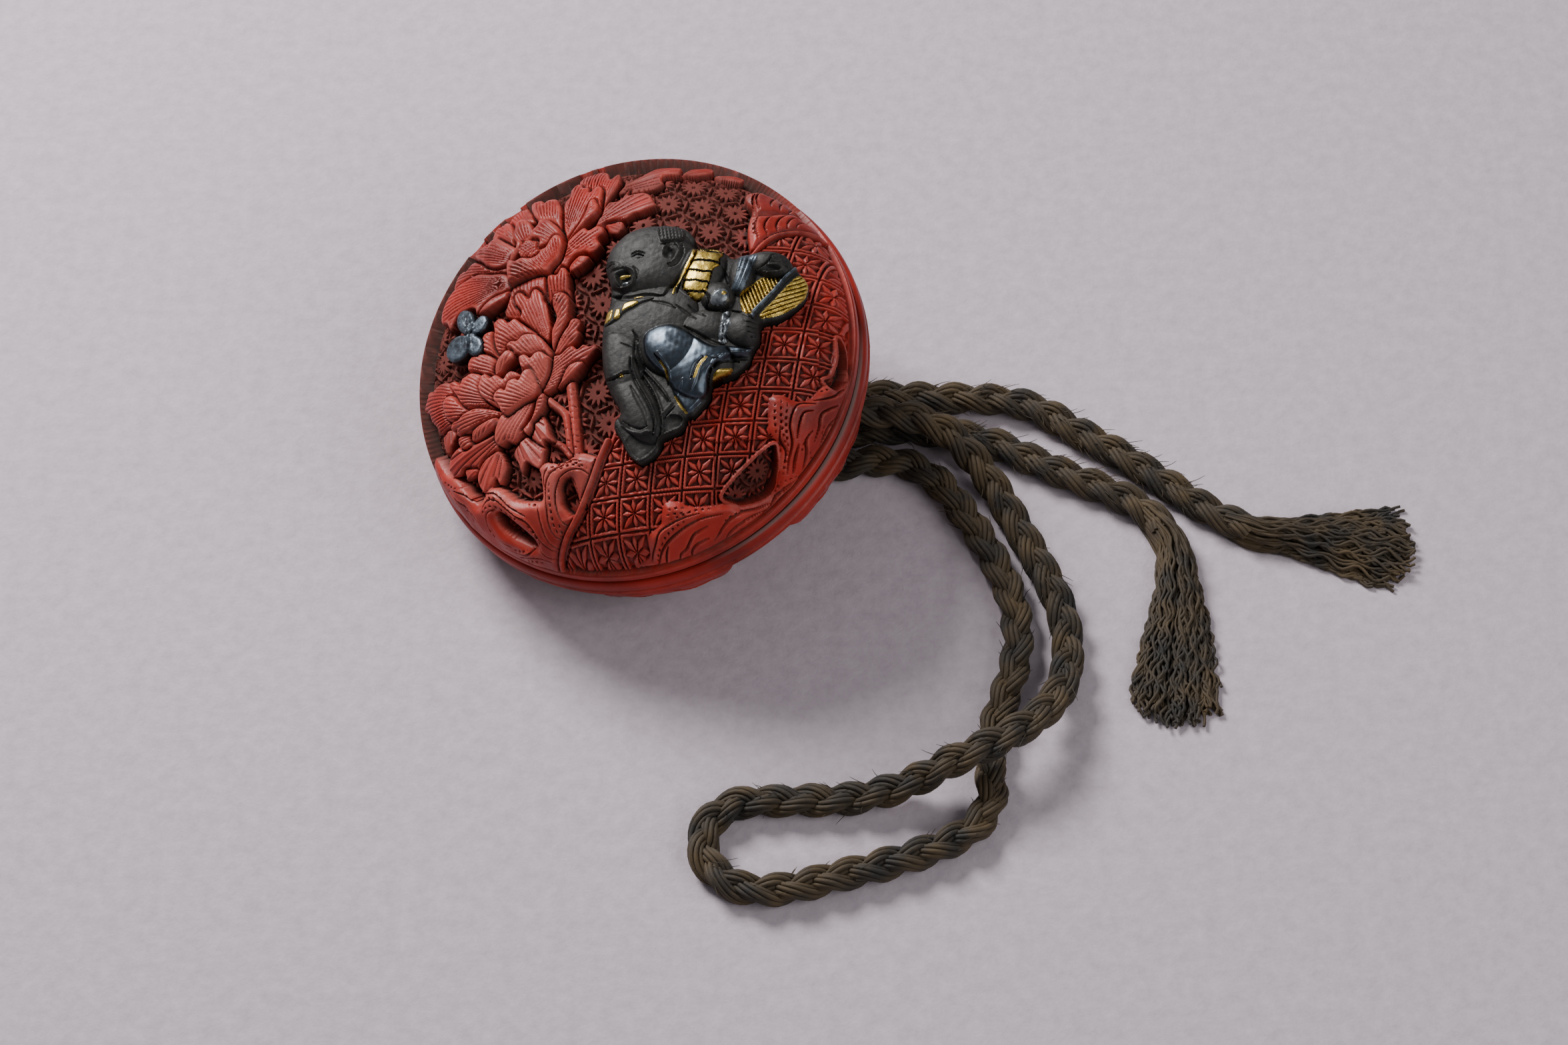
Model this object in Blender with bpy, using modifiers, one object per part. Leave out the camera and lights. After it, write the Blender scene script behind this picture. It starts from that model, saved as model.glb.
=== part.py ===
"""A manju netsuke: a round, two-part carved lacquer toggle with a metal boy and butterfly set into
its lid, leaning on its own braided cord, whose two tails and one long loop lie on the table."""

import math

import bpy
import bmesh
import numpy as np
from mathutils import Matrix, Vector, geometry

MM = 0.001  # every size and place below is in millimetres
GAP = 0.3  # clear gap between pieces that touch

# The bun: two shallow bowls with a superellipse profile, meeting at the seam
LID_RADIUS = 22.3
BACK_RADIUS = 22.6
HALF_HEIGHT = 10.0
SQUARENESS = 2.75
INNER_RADIUS = 18.9
INNER_HEIGHT = 6.9
LIP_RADIUS = 19.9
LIP_HEIGHT = 1.6
SEAM_GAP = 0.15
LEAN = math.radians(18.4)
LEAN_TOWARDS = math.radians(-156.3)
LID_SKEW = math.radians(0.4)  # the lid sits a little proud on the high side
REST_CUT = 0.18  # depth of the worn flat that the bun stands on
BUN_PLACE = (-0.24, -0.07)  # puts the middle of the bun's own box at the origin

# Depths of the carving, below the unbroken surface
GROUND = 1.75
TERRACE = 0.75
POCKET = 1.4
INLAY_FOOT = 1.1
BACK_FIELD = 0.5

# The cord
CORD = 3.3
CORD_SIDES_RADIUS = 1.62
CORD_STEP = 1.5 * CORD
LOW = CORD / 2
HOLE_RADIUS = 4.25
HOLE_SPREAD = 5.7
HOLE_UPHILL = 0.5
HOLE_SLANT = math.radians(32)

# Rings and steps of the turned bowls before they are thinned, and triangles given to the carved pieces
LID_RINGS, LID_STEPS = 90, 270
BACK_RINGS, BACK_STEPS = 64, 200
INNER_RINGS = 14
LID_TRIANGLES = 4200
BACK_TRIANGLES = 1900
BOY_TRIANGLES = 1500
BUTTERFLY_TRIANGLES = 260
SHARP = math.radians(35)  # edges sharper than this are kept when a carved mesh is thinned

# Spacing of the points on the inlays
BOY_STEP = 0.45
BUTTERFLY_STEP = 0.35
INLAY_BEVEL = 0.35

FLOOR_ROUTES = {
    "cord_tail_long": [
        (-1.1, 8.5, 5.5), (0.3, 8.5, 4.25), (2.8, 8.5, 2.6), (5.6, 8.45, 1.85), (8.8, 8.2, LOW), (13, 7.3, LOW),
        (17.5, 6.3, LOW), (22.3, 5.4, LOW), (28, 5.0, LOW), (34.2, 4.8, LOW), (38.6, 3.8, LOW), (42.3, 1.2, LOW),
        (46.2, -1.4, LOW), (50.1, -4.3, LOW), (54, -7.5, LOW), (57.2, -9.6, LOW), (59.4, -10.6, LOW)],
    "cord_tail_short": [
        (3.3, -1.9, 5.5), (4.7, -1.9, 4.25), (7.2, -1.9, 2.6), (10, -1.6, 1.85), (13, -0.9, LOW), (17.5, 0.4, LOW),
        (22.5, 1.2, LOW), (26.5, 1.1, LOW), (30.4, 0.6, LOW), (34.1, -0.4, LOW), (38, -2.4, LOW), (42, -4.5, LOW),
        (45.6, -6.2, LOW), (48.7, -8.1, LOW), (50.9, -10.6, LOW)],
    "cord_loop": [
        (-1.1, 4.9, 5.5), (0.3, 4.9, 4.25), (2.8, 4.8, 2.6), (5.6, 4.5, 1.9), (8.8, 3.9, 1.9), (12, 3.1, 2.8),
        (15.5, 2.2, 4.4), (19, 1.4, 5.25), (22.7, 0.8, 5.35), (26, 0.3, 5.3), (28.3, -0.5, 5.1), (30.3, -1.7, 4.5),
        (32.8, -3.9, 2.9), (34.9, -7, 1.9), (37, -11.5, LOW), (39.2, -16.3, LOW), (40.6, -20.5, LOW),
        (40.9, -25, 1.9), (40, -29.8, 3.1), (37.4, -34, 4.8), (33.4, -36.9, 5.35), (29.4, -38.6, 4.6),
        (24.6, -40.2, 2.6), (19, -41.1, LOW), (13.5, -41.2, LOW), (8.9, -41.6, LOW), (6.2, -44.2, LOW),
        (6.4, -47.8, LOW), (9.4, -50.4, LOW), (13.6, -50.6, LOW), (18.4, -49.3, LOW), (23.6, -47.8, LOW),
        (28.1, -46.1, LOW), (31.6, -43.9, LOW), (33.2, -40.6, LOW), (33.1, -37, LOW), (33.7, -33, LOW),
        (35.1, -28.6, LOW), (36.1, -24.4, LOW), (35.9, -19.6, LOW), (34.2, -14.4, LOW), (31.8, -9.6, LOW),
        (29, -5.4, LOW), (25.8, -3, LOW), (22.2, -2.6, LOW), (17.5, -3.4, LOW), (13, -4.7, LOW), (10, -5.3, 1.85),
        (7.2, -5.5, 2.6), (4.7, -5.5, 4.25), (3.3, -5.5, 5.5)],
}

# A tassel: places along its middle, with its half width and its thickness at each
TASSELS = {
    "cord_tassel_long": [((60.0, -10.7), 1.65, 3.3), ((62.5, -10.9), 2.1, 3.2), ((66.5, -11.4), 3.4, 2.9),
                         ((71.5, -12.0), 4.4, 2.4), ((76.0, -12.4), 4.9, 1.5)],
    "cord_tassel_short": [((51.4, -11.7), 1.65, 3.3), ((51.9, -14.0), 2.2, 3.2), ((51.9, -19.5), 3.4, 2.9),
                          ((51.3, -26.5), 4.3, 2.4), ((50.7, -33.0), 5.0, 1.5)],
}

# Carved motifs, on the dome unrolled flat: x to the right and y away from the tassels, from the lid's middle
PETALS = [
    # base, tip, width, height of the tip, lobes: the outer petals of each flower first
    ((-2.0, 12.5), (5.2, 14.0), 5.2, -0.75, 4), ((0.4, 15.6), (6.2, 19.4), 4.0, -0.75, 3),
    ((-4.5, 14.0), (-1.8, 21.4), 5.0, -0.65, 3), ((-3.6, 12.0), (-1.2, 17.6), 2.5, -0.35, 2),
    ((-13.0, 9.8), (-18.8, 11.6), 4.0, -0.55, 3), ((-9.0, 12.0), (-11.8, 18.0), 3.4, -0.45, 2),
    ((-12.0, 11.0), (-15.6, 14.2), 4.2, -0.40, 3), ((-6.5, 11.0), (-7.2, 17.6), 4.4, -0.30, 3),
    ((-10.5, 8.0), (-19.2, 6.2), 5.4, -0.50, 3), ((-11.0, 7.2), (-16.4, 7.2), 2.8, -0.20, 2),
    ((-6.0, 8.5), (-0.5, 11.2), 3.6, -0.25, 3), ((-5.8, 7.6), (-1.7, 7.6), 2.4, -0.15, 2),
    ((-5.3, 9.2), (-8.3, 13.4), 4.0, 0.05, 3), ((-7.2, 6.2), (-8.6, 10.4), 5.6, 0.40, 4),
    ((-8.0, 1.5), (-8.6, 7.6), 5.2, -0.70, 3), ((-6.0, 1.0), (-5.2, 7.7), 2.7, -0.50, 2),
    ((-6.8, 0.2), (-8.8, 6.1), 3.5, -0.35, 2), ((-6.0, -3.6), (-1.0, -1.7), 3.0, -0.40, 2),
    ((-8.5, -0.5), (-12.0, 3.2), 5.0, -0.25, 3), ((-10.5, -1.5), (-14.9, -0.6), 3.0, -0.10, 2),
    ((-12.0, -4.6), (-20.6, -2.9), 5.0, -0.55, 3), ((-11.5, -6.3), (-19.8, -5.4), 3.0, -0.50, 2),
    ((-11.0, -7.0), (-17.7, -7.4), 3.0, -0.40, 2), ((-9.0, -6.3), (-11.4, -10.6), 4.2, -0.35, 3),
    ((-6.3, -2.0), (-9.7, 0.6), 3.0, 0.00, 2), ((-11.0, -4.3), (-13.6, -2.6), 2.6, 0.00, 2),
    ((-9.0, -6.9), (-10.2, -3.7), 4.8, 0.35, 3), ((-7.0, -4.9), (-8.2, -1.3), 3.2, 0.40, 2),
]
LEAVES = [
    ((-14.0, 16.4), (-18.4, 17.6), 3.4, -0.75), ((-17.0, 10.6), (-22.2, 12.2), 3.2, -0.80),
    ((-18.5, 4.5), (-23.4, 4.6), 3.0, -0.85), ((-10.5, 18.5), (-13.4, 21.8), 3.2, -0.80),
    ((-5.0, 20.3), (-8.4, 23.6), 3.2, -0.80), ((2.6, 20.5), (3.6, 24.4), 3.0, -0.85),
    ((7.0, 20.2), (11.4, 20.4), 2.8, -0.80), ((-19.5, -5.0), (-24.0, -5.0), 2.8, -0.85),
    ((-11.0, -9.0), (-18.6, -11.3), 3.3, -0.45), ((-12.0, -9.6), (-14.6, -15.1), 3.1, -0.35),
    ((-9.2, -9.6), (-10.2, -13.9), 3.0, -0.35), ((-8.0, -8.3), (-5.7, -13.3), 2.9, -0.40),
]
ROCKS = [
    # outline, height of the top, hollows through it
    ([(13.6, 15.4), (15.0, 16.2), (17.0, 15.8), (20.0, 13.5), (18.5, 12.7), (14.4, 11.8)], -0.45, []),
    ([(14.0, 11.4), (17.0, 12.6), (18.5, 13.2), (21.8, 12.9), (22.6, 11.6), (18.5, 10.0), (14.3, 7.2),
      (13.8, 9.0)], -0.25, []),
    ([(-20.0, -10.8), (-16.5, -14.0), (-14.6, -14.6), (-11.6, -14.9), (-9.0, -16.2), (-7.7, -16.2),
      (-7.6, -13.2), (-6.8, -12.7), (-4.6, -12.9), (-1.2, -13.4), (-2.3, -15.5), (-6.1, -20.2), (-9.7, -25.4),
      (-13.5, -23.2), (-17.5, -20.0), (-21.0, -15.8), (-23.0, -12.4)], -0.05,
     [[(-13.9, -16.8), (-12.5, -19.6), (-9.9, -20.8), (-10.6, -18.9), (-13.2, -16.4)],
      [(-5.6, -15.2), (-4.2, -14.8), (-3.9, -17.6), (-5.1, -18.2)]]),
    ([(0.5, -25.6), (2.3, -22.4), (4.2, -19.6), (6.1, -18.5), (11.2, -19.3), (14.5, -19.7), (16.3, -18.2),
      (16.6, -14.0), (15.4, -12.0), (15.7, -8.9), (19.5, -9.2), (21.6, -7.4), (25.2, -5.0), (24.0, -9.4),
      (21.5, -14.3), (17.8, -18.7), (13.0, -22.3), (7.0, -24.9)], -0.10,
     [[(10.5, -18.5), (15.6, -13.8), (16.3, -17.0), (14.4, -19.5)]]),
]
TERRACE_EDGE = [
    (-0.1, -11.2), (-1.2, -13.2), (-2.2, -15.3), (-3.8, -18.0), (-5.8, -20.2), (-7.8, -22.8), (-9.4, -25.2),
    (-4.0, -26.2), (2.0, -26.4), (10.0, -24.4), (18.0, -19.3), (23.0, -12.8), (25.6, -6.0), (26.2, 1.0),
    (25.4, 7.0), (22.6, 12.0), (18.5, 10.4), (14.3, 7.4), (12.0, 5.0), (6.0, 0.0), (2.0, -6.0)]

BOY_OUTLINE = [
    (-0.7, 0.3), (-0.9, -2.0), (-0.7, -5.0), (0.0, -7.2), (0.8, -9.0), (0.2, -9.7), (0.2, -10.7), (0.8, -11.8),
    (1.25, -13.0), (2.3, -14.2), (3.2, -14.0), (4.2, -13.3), (4.7, -12.2), (6.0, -11.75), (6.8, -11.2),
    (7.2, -10.3), (8.0, -10.1), (9.3, -8.7), (9.8, -7.3), (11.7, -6.6), (13.2, -5.4), (13.75, -4.1),
    (14.4, -3.1), (14.7, -1.4), (16.5, -0.8), (18.7, 1.1), (19.2, 2.7), (18.8, 3.7), (17.8, 5.0), (17.1, 6.1),
    (15.2, 6.5), (13.4, 6.2), (12.0, 6.0), (10.9, 6.9), (8.4, 7.5), (8.3, 8.6), (7.2, 10.0), (5.6, 10.3),
    (3.8, 10.6), (1.6, 10.0), (-0.1, 8.2), (-0.5, 6.4), (0.0, 4.4), (-0.1, 2.6)]
# Rounded masses of the figure: middle, half sizes, turn in degrees, how high each swells
BOY_MASSES = [
    ((3.7, 6.8), (4.5, 4.0), -10, 1.7),    # head
    ((6.0, 9.0), (1.7, 1.3), 30, 1.75),    # tuft of hair
    ((5.7, 7.3), (0.95, 1.0), 0, 1.9),     # ear
    ((1.3, 5.2), (1.5, 1.3), 0, 1.7),      # cheeks and open mouth
    ((3.6, 0.0), (5.2, 3.6), 10, 1.3),     # shoulders
    ((9.0, 4.6), (2.3, 3.3), -20, 1.25),   # pleated collar
    ((10.8, 2.0), (1.5, 1.5), 0, 1.5),     # sleeve knot
    ((12.9, 3.9), (1.2, 2.4), -10, 1.2),   # raised cuff
    ((15.4, 5.0), (2.2, 1.5), -15, 1.35),  # upper fist
    ((13.1, -2.0), (1.9, 1.8), 0, 1.35),   # lower fist
    ((9.4, -1.5), (2.4, 1.8), 0, 1.2),     # lower sleeve
    ((1.2, -3.6), (2.3, 4.0), 5, 1.25),    # back of the robe
    ((6.0, -3.4), (3.2, 2.7), -35, 1.75),  # thigh under the robe
    ((8.6, -5.4), (3.2, 3.4), 40, 1.35),   # robe over the shin
    ((2.4, -8.6), (2.0, 4.2), 25, 1.05),   # folds behind
]
BUTTERFLY_WINGS = [
    # middle and half sizes of each wing, turn in degrees
    ((-15.3, 4.2), (1.05, 1.55), 25), ((-13.5, 3.3), (0.8, 1.05), -30),
    ((-16.1, 1.4), (1.55, 1.45), 0), ((-14.1, 1.1), (0.95, 1.15), 20), ((-14.7, 2.6), (0.7, 0.9), 30)]


def ease(value, low, high):
    """0 below low, 1 above high, and smooth between them."""
    t = np.clip((value - low) / (high - low), 0.0, 1.0)
    return t * t * (3.0 - 2.0 * t)


def smooth_route(points, closed, steps):
    """Points of a Catmull-Rom curve through the given points, as many in each span."""
    p = np.asarray(points, float)
    if closed:
        p = np.vstack([p[-1], p, p[0], p[1]])
    else:
        p = np.vstack([2 * p[0] - p[1], p, 2 * p[-1] - p[-2]])
    out = []
    for a, b, c, d in zip(p[:-3], p[1:-2], p[2:-1], p[3:]):
        for t in np.arange(steps) / steps:
            bend = 2 * b + (c - a) * t + (2 * a - 5 * b + 4 * c - d) * t ** 2
            out.append((bend + (3 * b - a - 3 * c + d) * t ** 3) / 2)
    if not closed:
        out.append(p[-2])
    return np.array(out)


def evenly_spaced(line, step):
    """The same line with its points about one step apart."""
    lengths = np.linalg.norm(np.diff(line, axis=0), axis=1)
    along = np.concatenate([[0.0], np.cumsum(lengths)])
    marks = np.linspace(0.0, along[-1], max(2, round(along[-1] / step) + 1))
    return np.stack([np.interp(marks, along, line[:, k]) for k in range(line.shape[1])], axis=1)


def depth_inside(x, y, loop):
    """Distance in from a closed outline, negative outside it."""
    nearest = np.full(x.shape, 1e9)
    inside = np.zeros(x.shape, bool)
    for (x0, y0), (x1, y1) in zip(loop, np.roll(loop, -1, axis=0)):
        dx, dy = x1 - x0, y1 - y0
        t = np.clip(((x - x0) * dx + (y - y0) * dy) / (dx * dx + dy * dy + 1e-12), 0, 1)
        nearest = np.minimum(nearest, np.hypot(x - x0 - t * dx, y - y0 - t * dy))
        if y0 != y1:
            inside ^= ((y0 > y) != (y1 > y)) & (x < dx * (y - y0) / dy + x0)
    return np.where(inside, nearest, -nearest)


class Dome:
    """One half of the bun: a superellipse turned round Z, measured along its arc from the pole."""

    def __init__(self, radius, height):
        self.radius = radius
        self.height = height
        t = np.linspace(0.0, math.pi / 2, 2000)
        self.r = radius * np.sin(t) ** (2 / SQUARENESS)
        self.z = height * np.cos(t) ** (2 / SQUARENESS)
        arcs = np.hypot(np.diff(self.r), np.diff(self.z))
        self.arc = np.concatenate([[0.0], np.cumsum(arcs)])
        self.length = self.arc[-1]

    def at(self, arc):
        return np.interp(arc, self.arc, self.r), np.interp(arc, self.arc, self.z)

    def point(self, x, y, rise):
        """Where a spot of the unrolled dome lies, raised or sunk square to the surface."""
        arc = np.hypot(x, y)
        r, z = self.at(arc)
        across = (r / self.radius) ** (SQUARENESS - 1) / self.radius
        up = (z / self.height) ** (SQUARENESS - 1) / self.height
        length = np.hypot(across, up)
        spread = (r + rise * across / length) / np.maximum(arc, 1e-9)
        return np.stack([x * spread, y * spread, z + rise * up / length], axis=-1)

    def profile(self, rings):
        """The outer profile from the seam to the pole."""
        return [self.at(arc) for arc in np.linspace(self.length, 0.0, rings)]


LID_DOME = Dome(LID_RADIUS, HALF_HEIGHT)
BACK_DOME = Dome(BACK_RADIUS, HALF_HEIGHT)
INNER_DOME = Dome(INNER_RADIUS, INNER_HEIGHT)


class Carving:
    """Heights of the carved surface, laid down from the lowest form to the highest."""

    def __init__(self, x, y, ground):
        self.x = x
        self.y = y
        self.height = np.full(x.shape, ground)

    def lay(self, inside, height):
        self.height = np.where(inside, height, self.height)

    def along(self, base, tip, width):
        """Places along and across a form, as shares of its length and of its half width."""
        length = math.dist(base, tip)
        ux, uy = (tip[0] - base[0]) / length, (tip[1] - base[1]) / length
        dx, dy = self.x - base[0], self.y - base[1]
        return (dx * ux + dy * uy) / length, 2 * (dy * ux - dx * uy) / width

    def petal(self, base, tip, width, top, lobes):
        u, v = self.along(base, tip, width)
        opening = 0.38 + 0.62 * np.sin(math.pi / 2 * np.clip(u / 0.62, 0, 1))
        q = np.clip(v / opening, -1.5, 1.5)
        scallop = np.abs(np.cos(math.pi * (q * lobes / 2 + 0.5 * (lobes % 2 == 0))))
        end = 1.0 - 0.34 * np.abs(q) ** 2.4 - 0.08 * (1 - scallop)
        inside = (u > -0.05) & (u < end) & (np.abs(q) < 1)
        self.lay(inside, top - 0.5 * (1 - ease(u, 0.0, 0.95)))

    def leaf(self, base, tip, width, top):
        u, v = self.along(base, tip, width)
        reach = np.sin(math.pi * np.clip(u, 0, 1) ** 0.85) ** 0.75
        inside = (u > 0) & (u < 1) & (np.abs(v) < reach)
        self.lay(inside, top - 0.25 * np.abs(v) - 0.4 * (1 - ease(u, 0.0, 0.8)))

    def slab(self, outline, top, hollows=()):
        depth = depth_inside(self.x, self.y, smooth_route(outline, True, 4))
        for hollow in hollows:
            depth = np.minimum(depth, -depth_inside(self.x, self.y, smooth_route(hollow, True, 4)))
        self.lay(depth > 0, top - 0.35 * (1 - ease(depth, 0.0, 0.9)))

    def pocket(self, outline, floor):
        self.lay(depth_inside(self.x, self.y, outline) > -GAP, floor)


def lid_carving(x, y):
    carving = Carving(x, y, -GROUND)
    carving.slab(TERRACE_EDGE, -TERRACE)
    for leaf in LEAVES:
        carving.leaf(*leaf)
    for petal in PETALS:
        carving.petal(*petal)
    for outline, top, hollows in ROCKS:
        carving.slab(outline, top, hollows)
    carving.pocket(smooth_route(BOY_OUTLINE, True, 3), -POCKET)
    carving.pocket(butterfly_outline(), -POCKET)
    arc = np.hypot(x, y)
    near_rim = 1.0 - 0.35 * ease(arc, 22.5, 25.0)
    band = ease(arc, 25.7, 26.3)
    return carving.height * near_rim * (1 - band) - 0.12 * band


def back_carving(x, y):
    """A sunk field of rocks inside a plain band with two ring grooves, and a plain middle."""
    carving = Carving(x, y, -BACK_FIELD)
    arc = np.hypot(x, y)
    for outline, top, hollows in ROCKS[2:]:
        carving.slab(outline, top, hollows)
    carving.lay(arc < 17.0, 0.0)
    carving.lay(arc > 24.6, -0.1)
    carving.lay(arc > 26.2, 0.0)
    return carving.height


def butterfly_outline():
    """The hull of the four wings, walked round their middle."""
    middle = np.array(BUTTERFLY_WINGS[-1][0])
    outline = []
    for angle in np.linspace(0, 2 * math.pi, 40, endpoint=False):
        ray = np.array([math.cos(angle), math.sin(angle)])
        reach = np.linspace(0.0, 4.5, 181)
        spots = middle + reach[:, None] * ray
        height = swell(spots[:, 0], spots[:, 1], [wing + (1.0,) for wing in BUTTERFLY_WINGS])
        outline.append(spots[np.flatnonzero(height > 0.0).max()])
    return np.array(outline)


def swell(x, y, masses):
    """The highest of several rounded masses, or 0 where there is none."""
    height = np.zeros(x.shape)
    for (mx, my), (half_x, half_y), degrees, top in masses:
        c, s = math.cos(math.radians(degrees)), math.sin(math.radians(degrees))
        dx, dy = x - mx, y - my
        share = ((dx * c + dy * s) / half_x) ** 2 + ((dy * c - dx * s) / half_y) ** 2
        height = np.maximum(height, top * np.sqrt(np.clip(1 - share, 0, None)))
    return height


def boy_height(x, y, depth):
    edge = np.sqrt(np.clip(1 - (1 - np.clip(depth / 1.2, 0, 1)) ** 2, 0, 1))
    return 0.1 + 0.5 * edge + swell(x, y, BOY_MASSES) * edge * 0.85


def butterfly_height(x, y, depth):
    edge = np.sqrt(np.clip(1 - (1 - np.clip(depth / 0.5, 0, 1)) ** 2, 0, 1))
    wings = swell(x, y, [wing + (0.35,) for wing in BUTTERFLY_WINGS])
    return -0.45 + 0.25 * edge + wings * edge


def clear_scene():
    for existing in list(bpy.data.objects):
        bpy.data.objects.remove(existing, do_unlink=True)


def make_material(name, colour, roughness, metallic=0.0):
    material = bpy.data.materials.new(name)
    material.use_nodes = True
    shader = material.node_tree.nodes["Principled BSDF"]
    shader.inputs["Base Color"].default_value = (*colour, 1.0)
    shader.inputs["Roughness"].default_value = roughness
    shader.inputs["Metallic"].default_value = metallic
    return material


def add_object(name, data, collection, material=None, parent=None):
    item = bpy.data.objects.new(name, data)
    collection.objects.link(item)
    if material:
        data.materials.append(material)
    item.parent = parent
    return item


def add_empty(name, collection, matrix, parent=None):
    empty = add_object(name, None, collection, parent=parent)
    empty.matrix_basis = matrix
    return empty


def evaluated_mesh(item):
    """The object's mesh with its modifiers applied, and the object itself removed."""
    graph = bpy.context.evaluated_depsgraph_get()
    mesh = bpy.data.meshes.new_from_object(item.evaluated_get(graph))
    bpy.data.objects.remove(item, do_unlink=True)
    return mesh


def turned_mesh(profile, steps, collection):
    """A closed profile of (radius, height) pairs turned round Z, each end on the axis."""
    mesh = bpy.data.meshes.new("profile")
    corners = [(r * MM, 0.0, z * MM) for r, z in profile]
    mesh.from_pydata(corners, [(i, i + 1) for i in range(len(corners) - 1)], [])
    item = add_object("turning", mesh, collection)
    screw = item.modifiers.new("Screw", "SCREW")
    screw.steps = steps
    screw.render_steps = steps
    screw.use_merge_vertices = True
    screw.merge_threshold = 0.00001
    turned = evaluated_mesh(item)
    turned.name = "turned"
    return turned


def carve_mesh(mesh, dome, carving):
    """Move the vertices that lie on the outer dome to their carved heights."""
    place = np.empty(len(mesh.vertices) * 3)
    mesh.vertices.foreach_get("co", place)
    place = place.reshape(-1, 3) / MM
    r = np.hypot(place[:, 0], place[:, 1])
    shape = (r / dome.radius) ** SQUARENESS + np.abs(place[:, 2] / dome.height) ** SQUARENESS
    outer = (np.abs(shape - 1) < 0.01) & (place[:, 2] > 0.5)
    turn = np.arctan2(np.abs(r / dome.radius) ** (SQUARENESS / 2),
                      np.abs(place[:, 2] / dome.height) ** (SQUARENESS / 2))
    angles = np.linspace(0.0, math.pi / 2, len(dome.arc))
    arc = np.interp(turn, angles, dome.arc)
    spread = np.where(r > 1e-6, arc / np.maximum(r, 1e-6), 1.0)
    x, y = place[outer, 0] * spread[outer], place[outer, 1] * spread[outer]
    place[outer] = dome.point(x, y, carving(x, y))
    mesh.vertices.foreach_set("co", (place * MM).ravel())
    mesh.update()


def thin_out(item, triangles):
    """Collapse a finely carved mesh to the triangles that this piece may have."""
    item.data.shade_smooth()
    item.data.set_sharp_from_angle(angle=SHARP)
    item.data.calc_loop_triangles()
    thinning = item.modifiers.new("Thin out", "DECIMATE")
    thinning.ratio = triangles / len(item.data.loop_triangles)


def shell_profile(dome, inner_rim, rings):
    """Outer dome from the pole down to the seam, then the inner wall back up to the axis."""
    outer = dome.profile(rings)[::-1]
    inner = [(r, z) for r, z in INNER_DOME.profile(INNER_RINGS) if z > inner_rim[-1][1] + 0.4]
    return outer + inner_rim + inner


def make_lid(collection, material, seat):
    rebate = LIP_RADIUS + GAP
    inner_wall = float(INNER_RADIUS * (1 - (LIP_HEIGHT / INNER_HEIGHT) ** SQUARENESS) ** (1 / SQUARENESS))
    step = LIP_HEIGHT + GAP
    inner_rim = [(rebate, 0.0), (rebate, step), (inner_wall, step)]
    mesh = turned_mesh(shell_profile(LID_DOME, inner_rim, LID_RINGS), LID_STEPS, collection)
    carve_mesh(mesh, LID_DOME, lid_carving)
    lid = add_object("netsuke_front", mesh, collection, material, seat)
    thin_out(lid, LID_TRIANGLES)
    return lid


def make_back(collection, cutters, material, pose):
    """The lower bowl, turned upside down, with the lip that the lid closes over."""
    inner_rim = [(LIP_RADIUS, 0.0), (LIP_RADIUS, -LIP_HEIGHT), (INNER_RADIUS, -LIP_HEIGHT), (INNER_RADIUS, 0.0)]
    outer = BACK_DOME.profile(BACK_RINGS)[::-1]
    inner = INNER_DOME.profile(INNER_RINGS)[1:]
    mesh = turned_mesh(outer + inner_rim + inner, BACK_STEPS, collection)
    carve_mesh(mesh, BACK_DOME, back_carving)
    mesh.transform(Matrix.Diagonal((1.0, 1.0, -1.0, 1.0)))
    mesh.flip_normals()
    back = add_object("netsuke_back", mesh, collection, material, pose)
    thin_out(back, BACK_TRIANGLES)
    for cutter in [rest_cutter(cutters)] + [hole_cutter(cutters, side) for side in (1, -1)]:
        cut = back.modifiers.new(cutter.name, "BOOLEAN")
        cut.operation = "DIFFERENCE"
        cut.solver = "EXACT"
        cut.object = cutter
    return back


def hide_cutter(item):
    item.hide_render = True
    item.display_type = "WIRE"


def rest_cutter(cutters):
    """A block under the table top, which leaves the small worn flat that the bun rests on."""
    mesh = bpy.data.meshes.new("rest")
    shape = bmesh.new()
    bmesh.ops.create_cube(shape, size=60 * MM, matrix=Matrix.Translation((0, 0, -30 * MM)))
    shape.to_mesh(mesh)
    shape.free()
    block = add_object("cut_rest", mesh, cutters)
    hide_cutter(block)
    return block


def pole_of_back():
    return seat_height_matrix() @ Vector((0, 0, -HALF_HEIGHT * MM))


def hole_cutter(cutters, side):
    """A slanting hole through the back wall, for two strands of the cord side by side."""
    mesh = bpy.data.meshes.new("hole")
    shape = bmesh.new()
    bmesh.ops.create_cone(shape, cap_ends=True, segments=20, radius1=HOLE_RADIUS * MM,
                          radius2=HOLE_RADIUS * MM, depth=16 * MM)
    shape.to_mesh(mesh)
    shape.free()
    uphill = Vector((-math.cos(LEAN_TOWARDS), -math.sin(LEAN_TOWARDS), 0))
    level = Vector((-uphill.y, uphill.x, 0))
    place = pole_of_back() + (side * HOLE_SPREAD * level + HOLE_UPHILL * uphill) * MM
    place.z += 1.5 * MM
    place.x -= 1.5 * math.tan(HOLE_SLANT) * MM
    hole = add_object("cut_hole_" + ("far" if side > 0 else "near"), mesh, cutters)
    hole.matrix_basis = Matrix.Translation(place) @ Matrix.Rotation(-HOLE_SLANT, 4, "Y")
    hide_cutter(hole)
    return hole


def seat_height_matrix():
    """The bun's lean, and the height at which its lowest place is cut flat by the table."""
    axis = Vector((-math.sin(LEAN_TOWARDS), math.cos(LEAN_TOWARDS), 0))
    lean = Matrix.Rotation(LEAN, 4, axis)
    below = np.max(BACK_DOME.r * math.sin(LEAN) + BACK_DOME.z * math.cos(LEAN))
    return Matrix.Translation(Vector((*BUN_PLACE, below - REST_CUT)) * MM) @ lean


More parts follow.
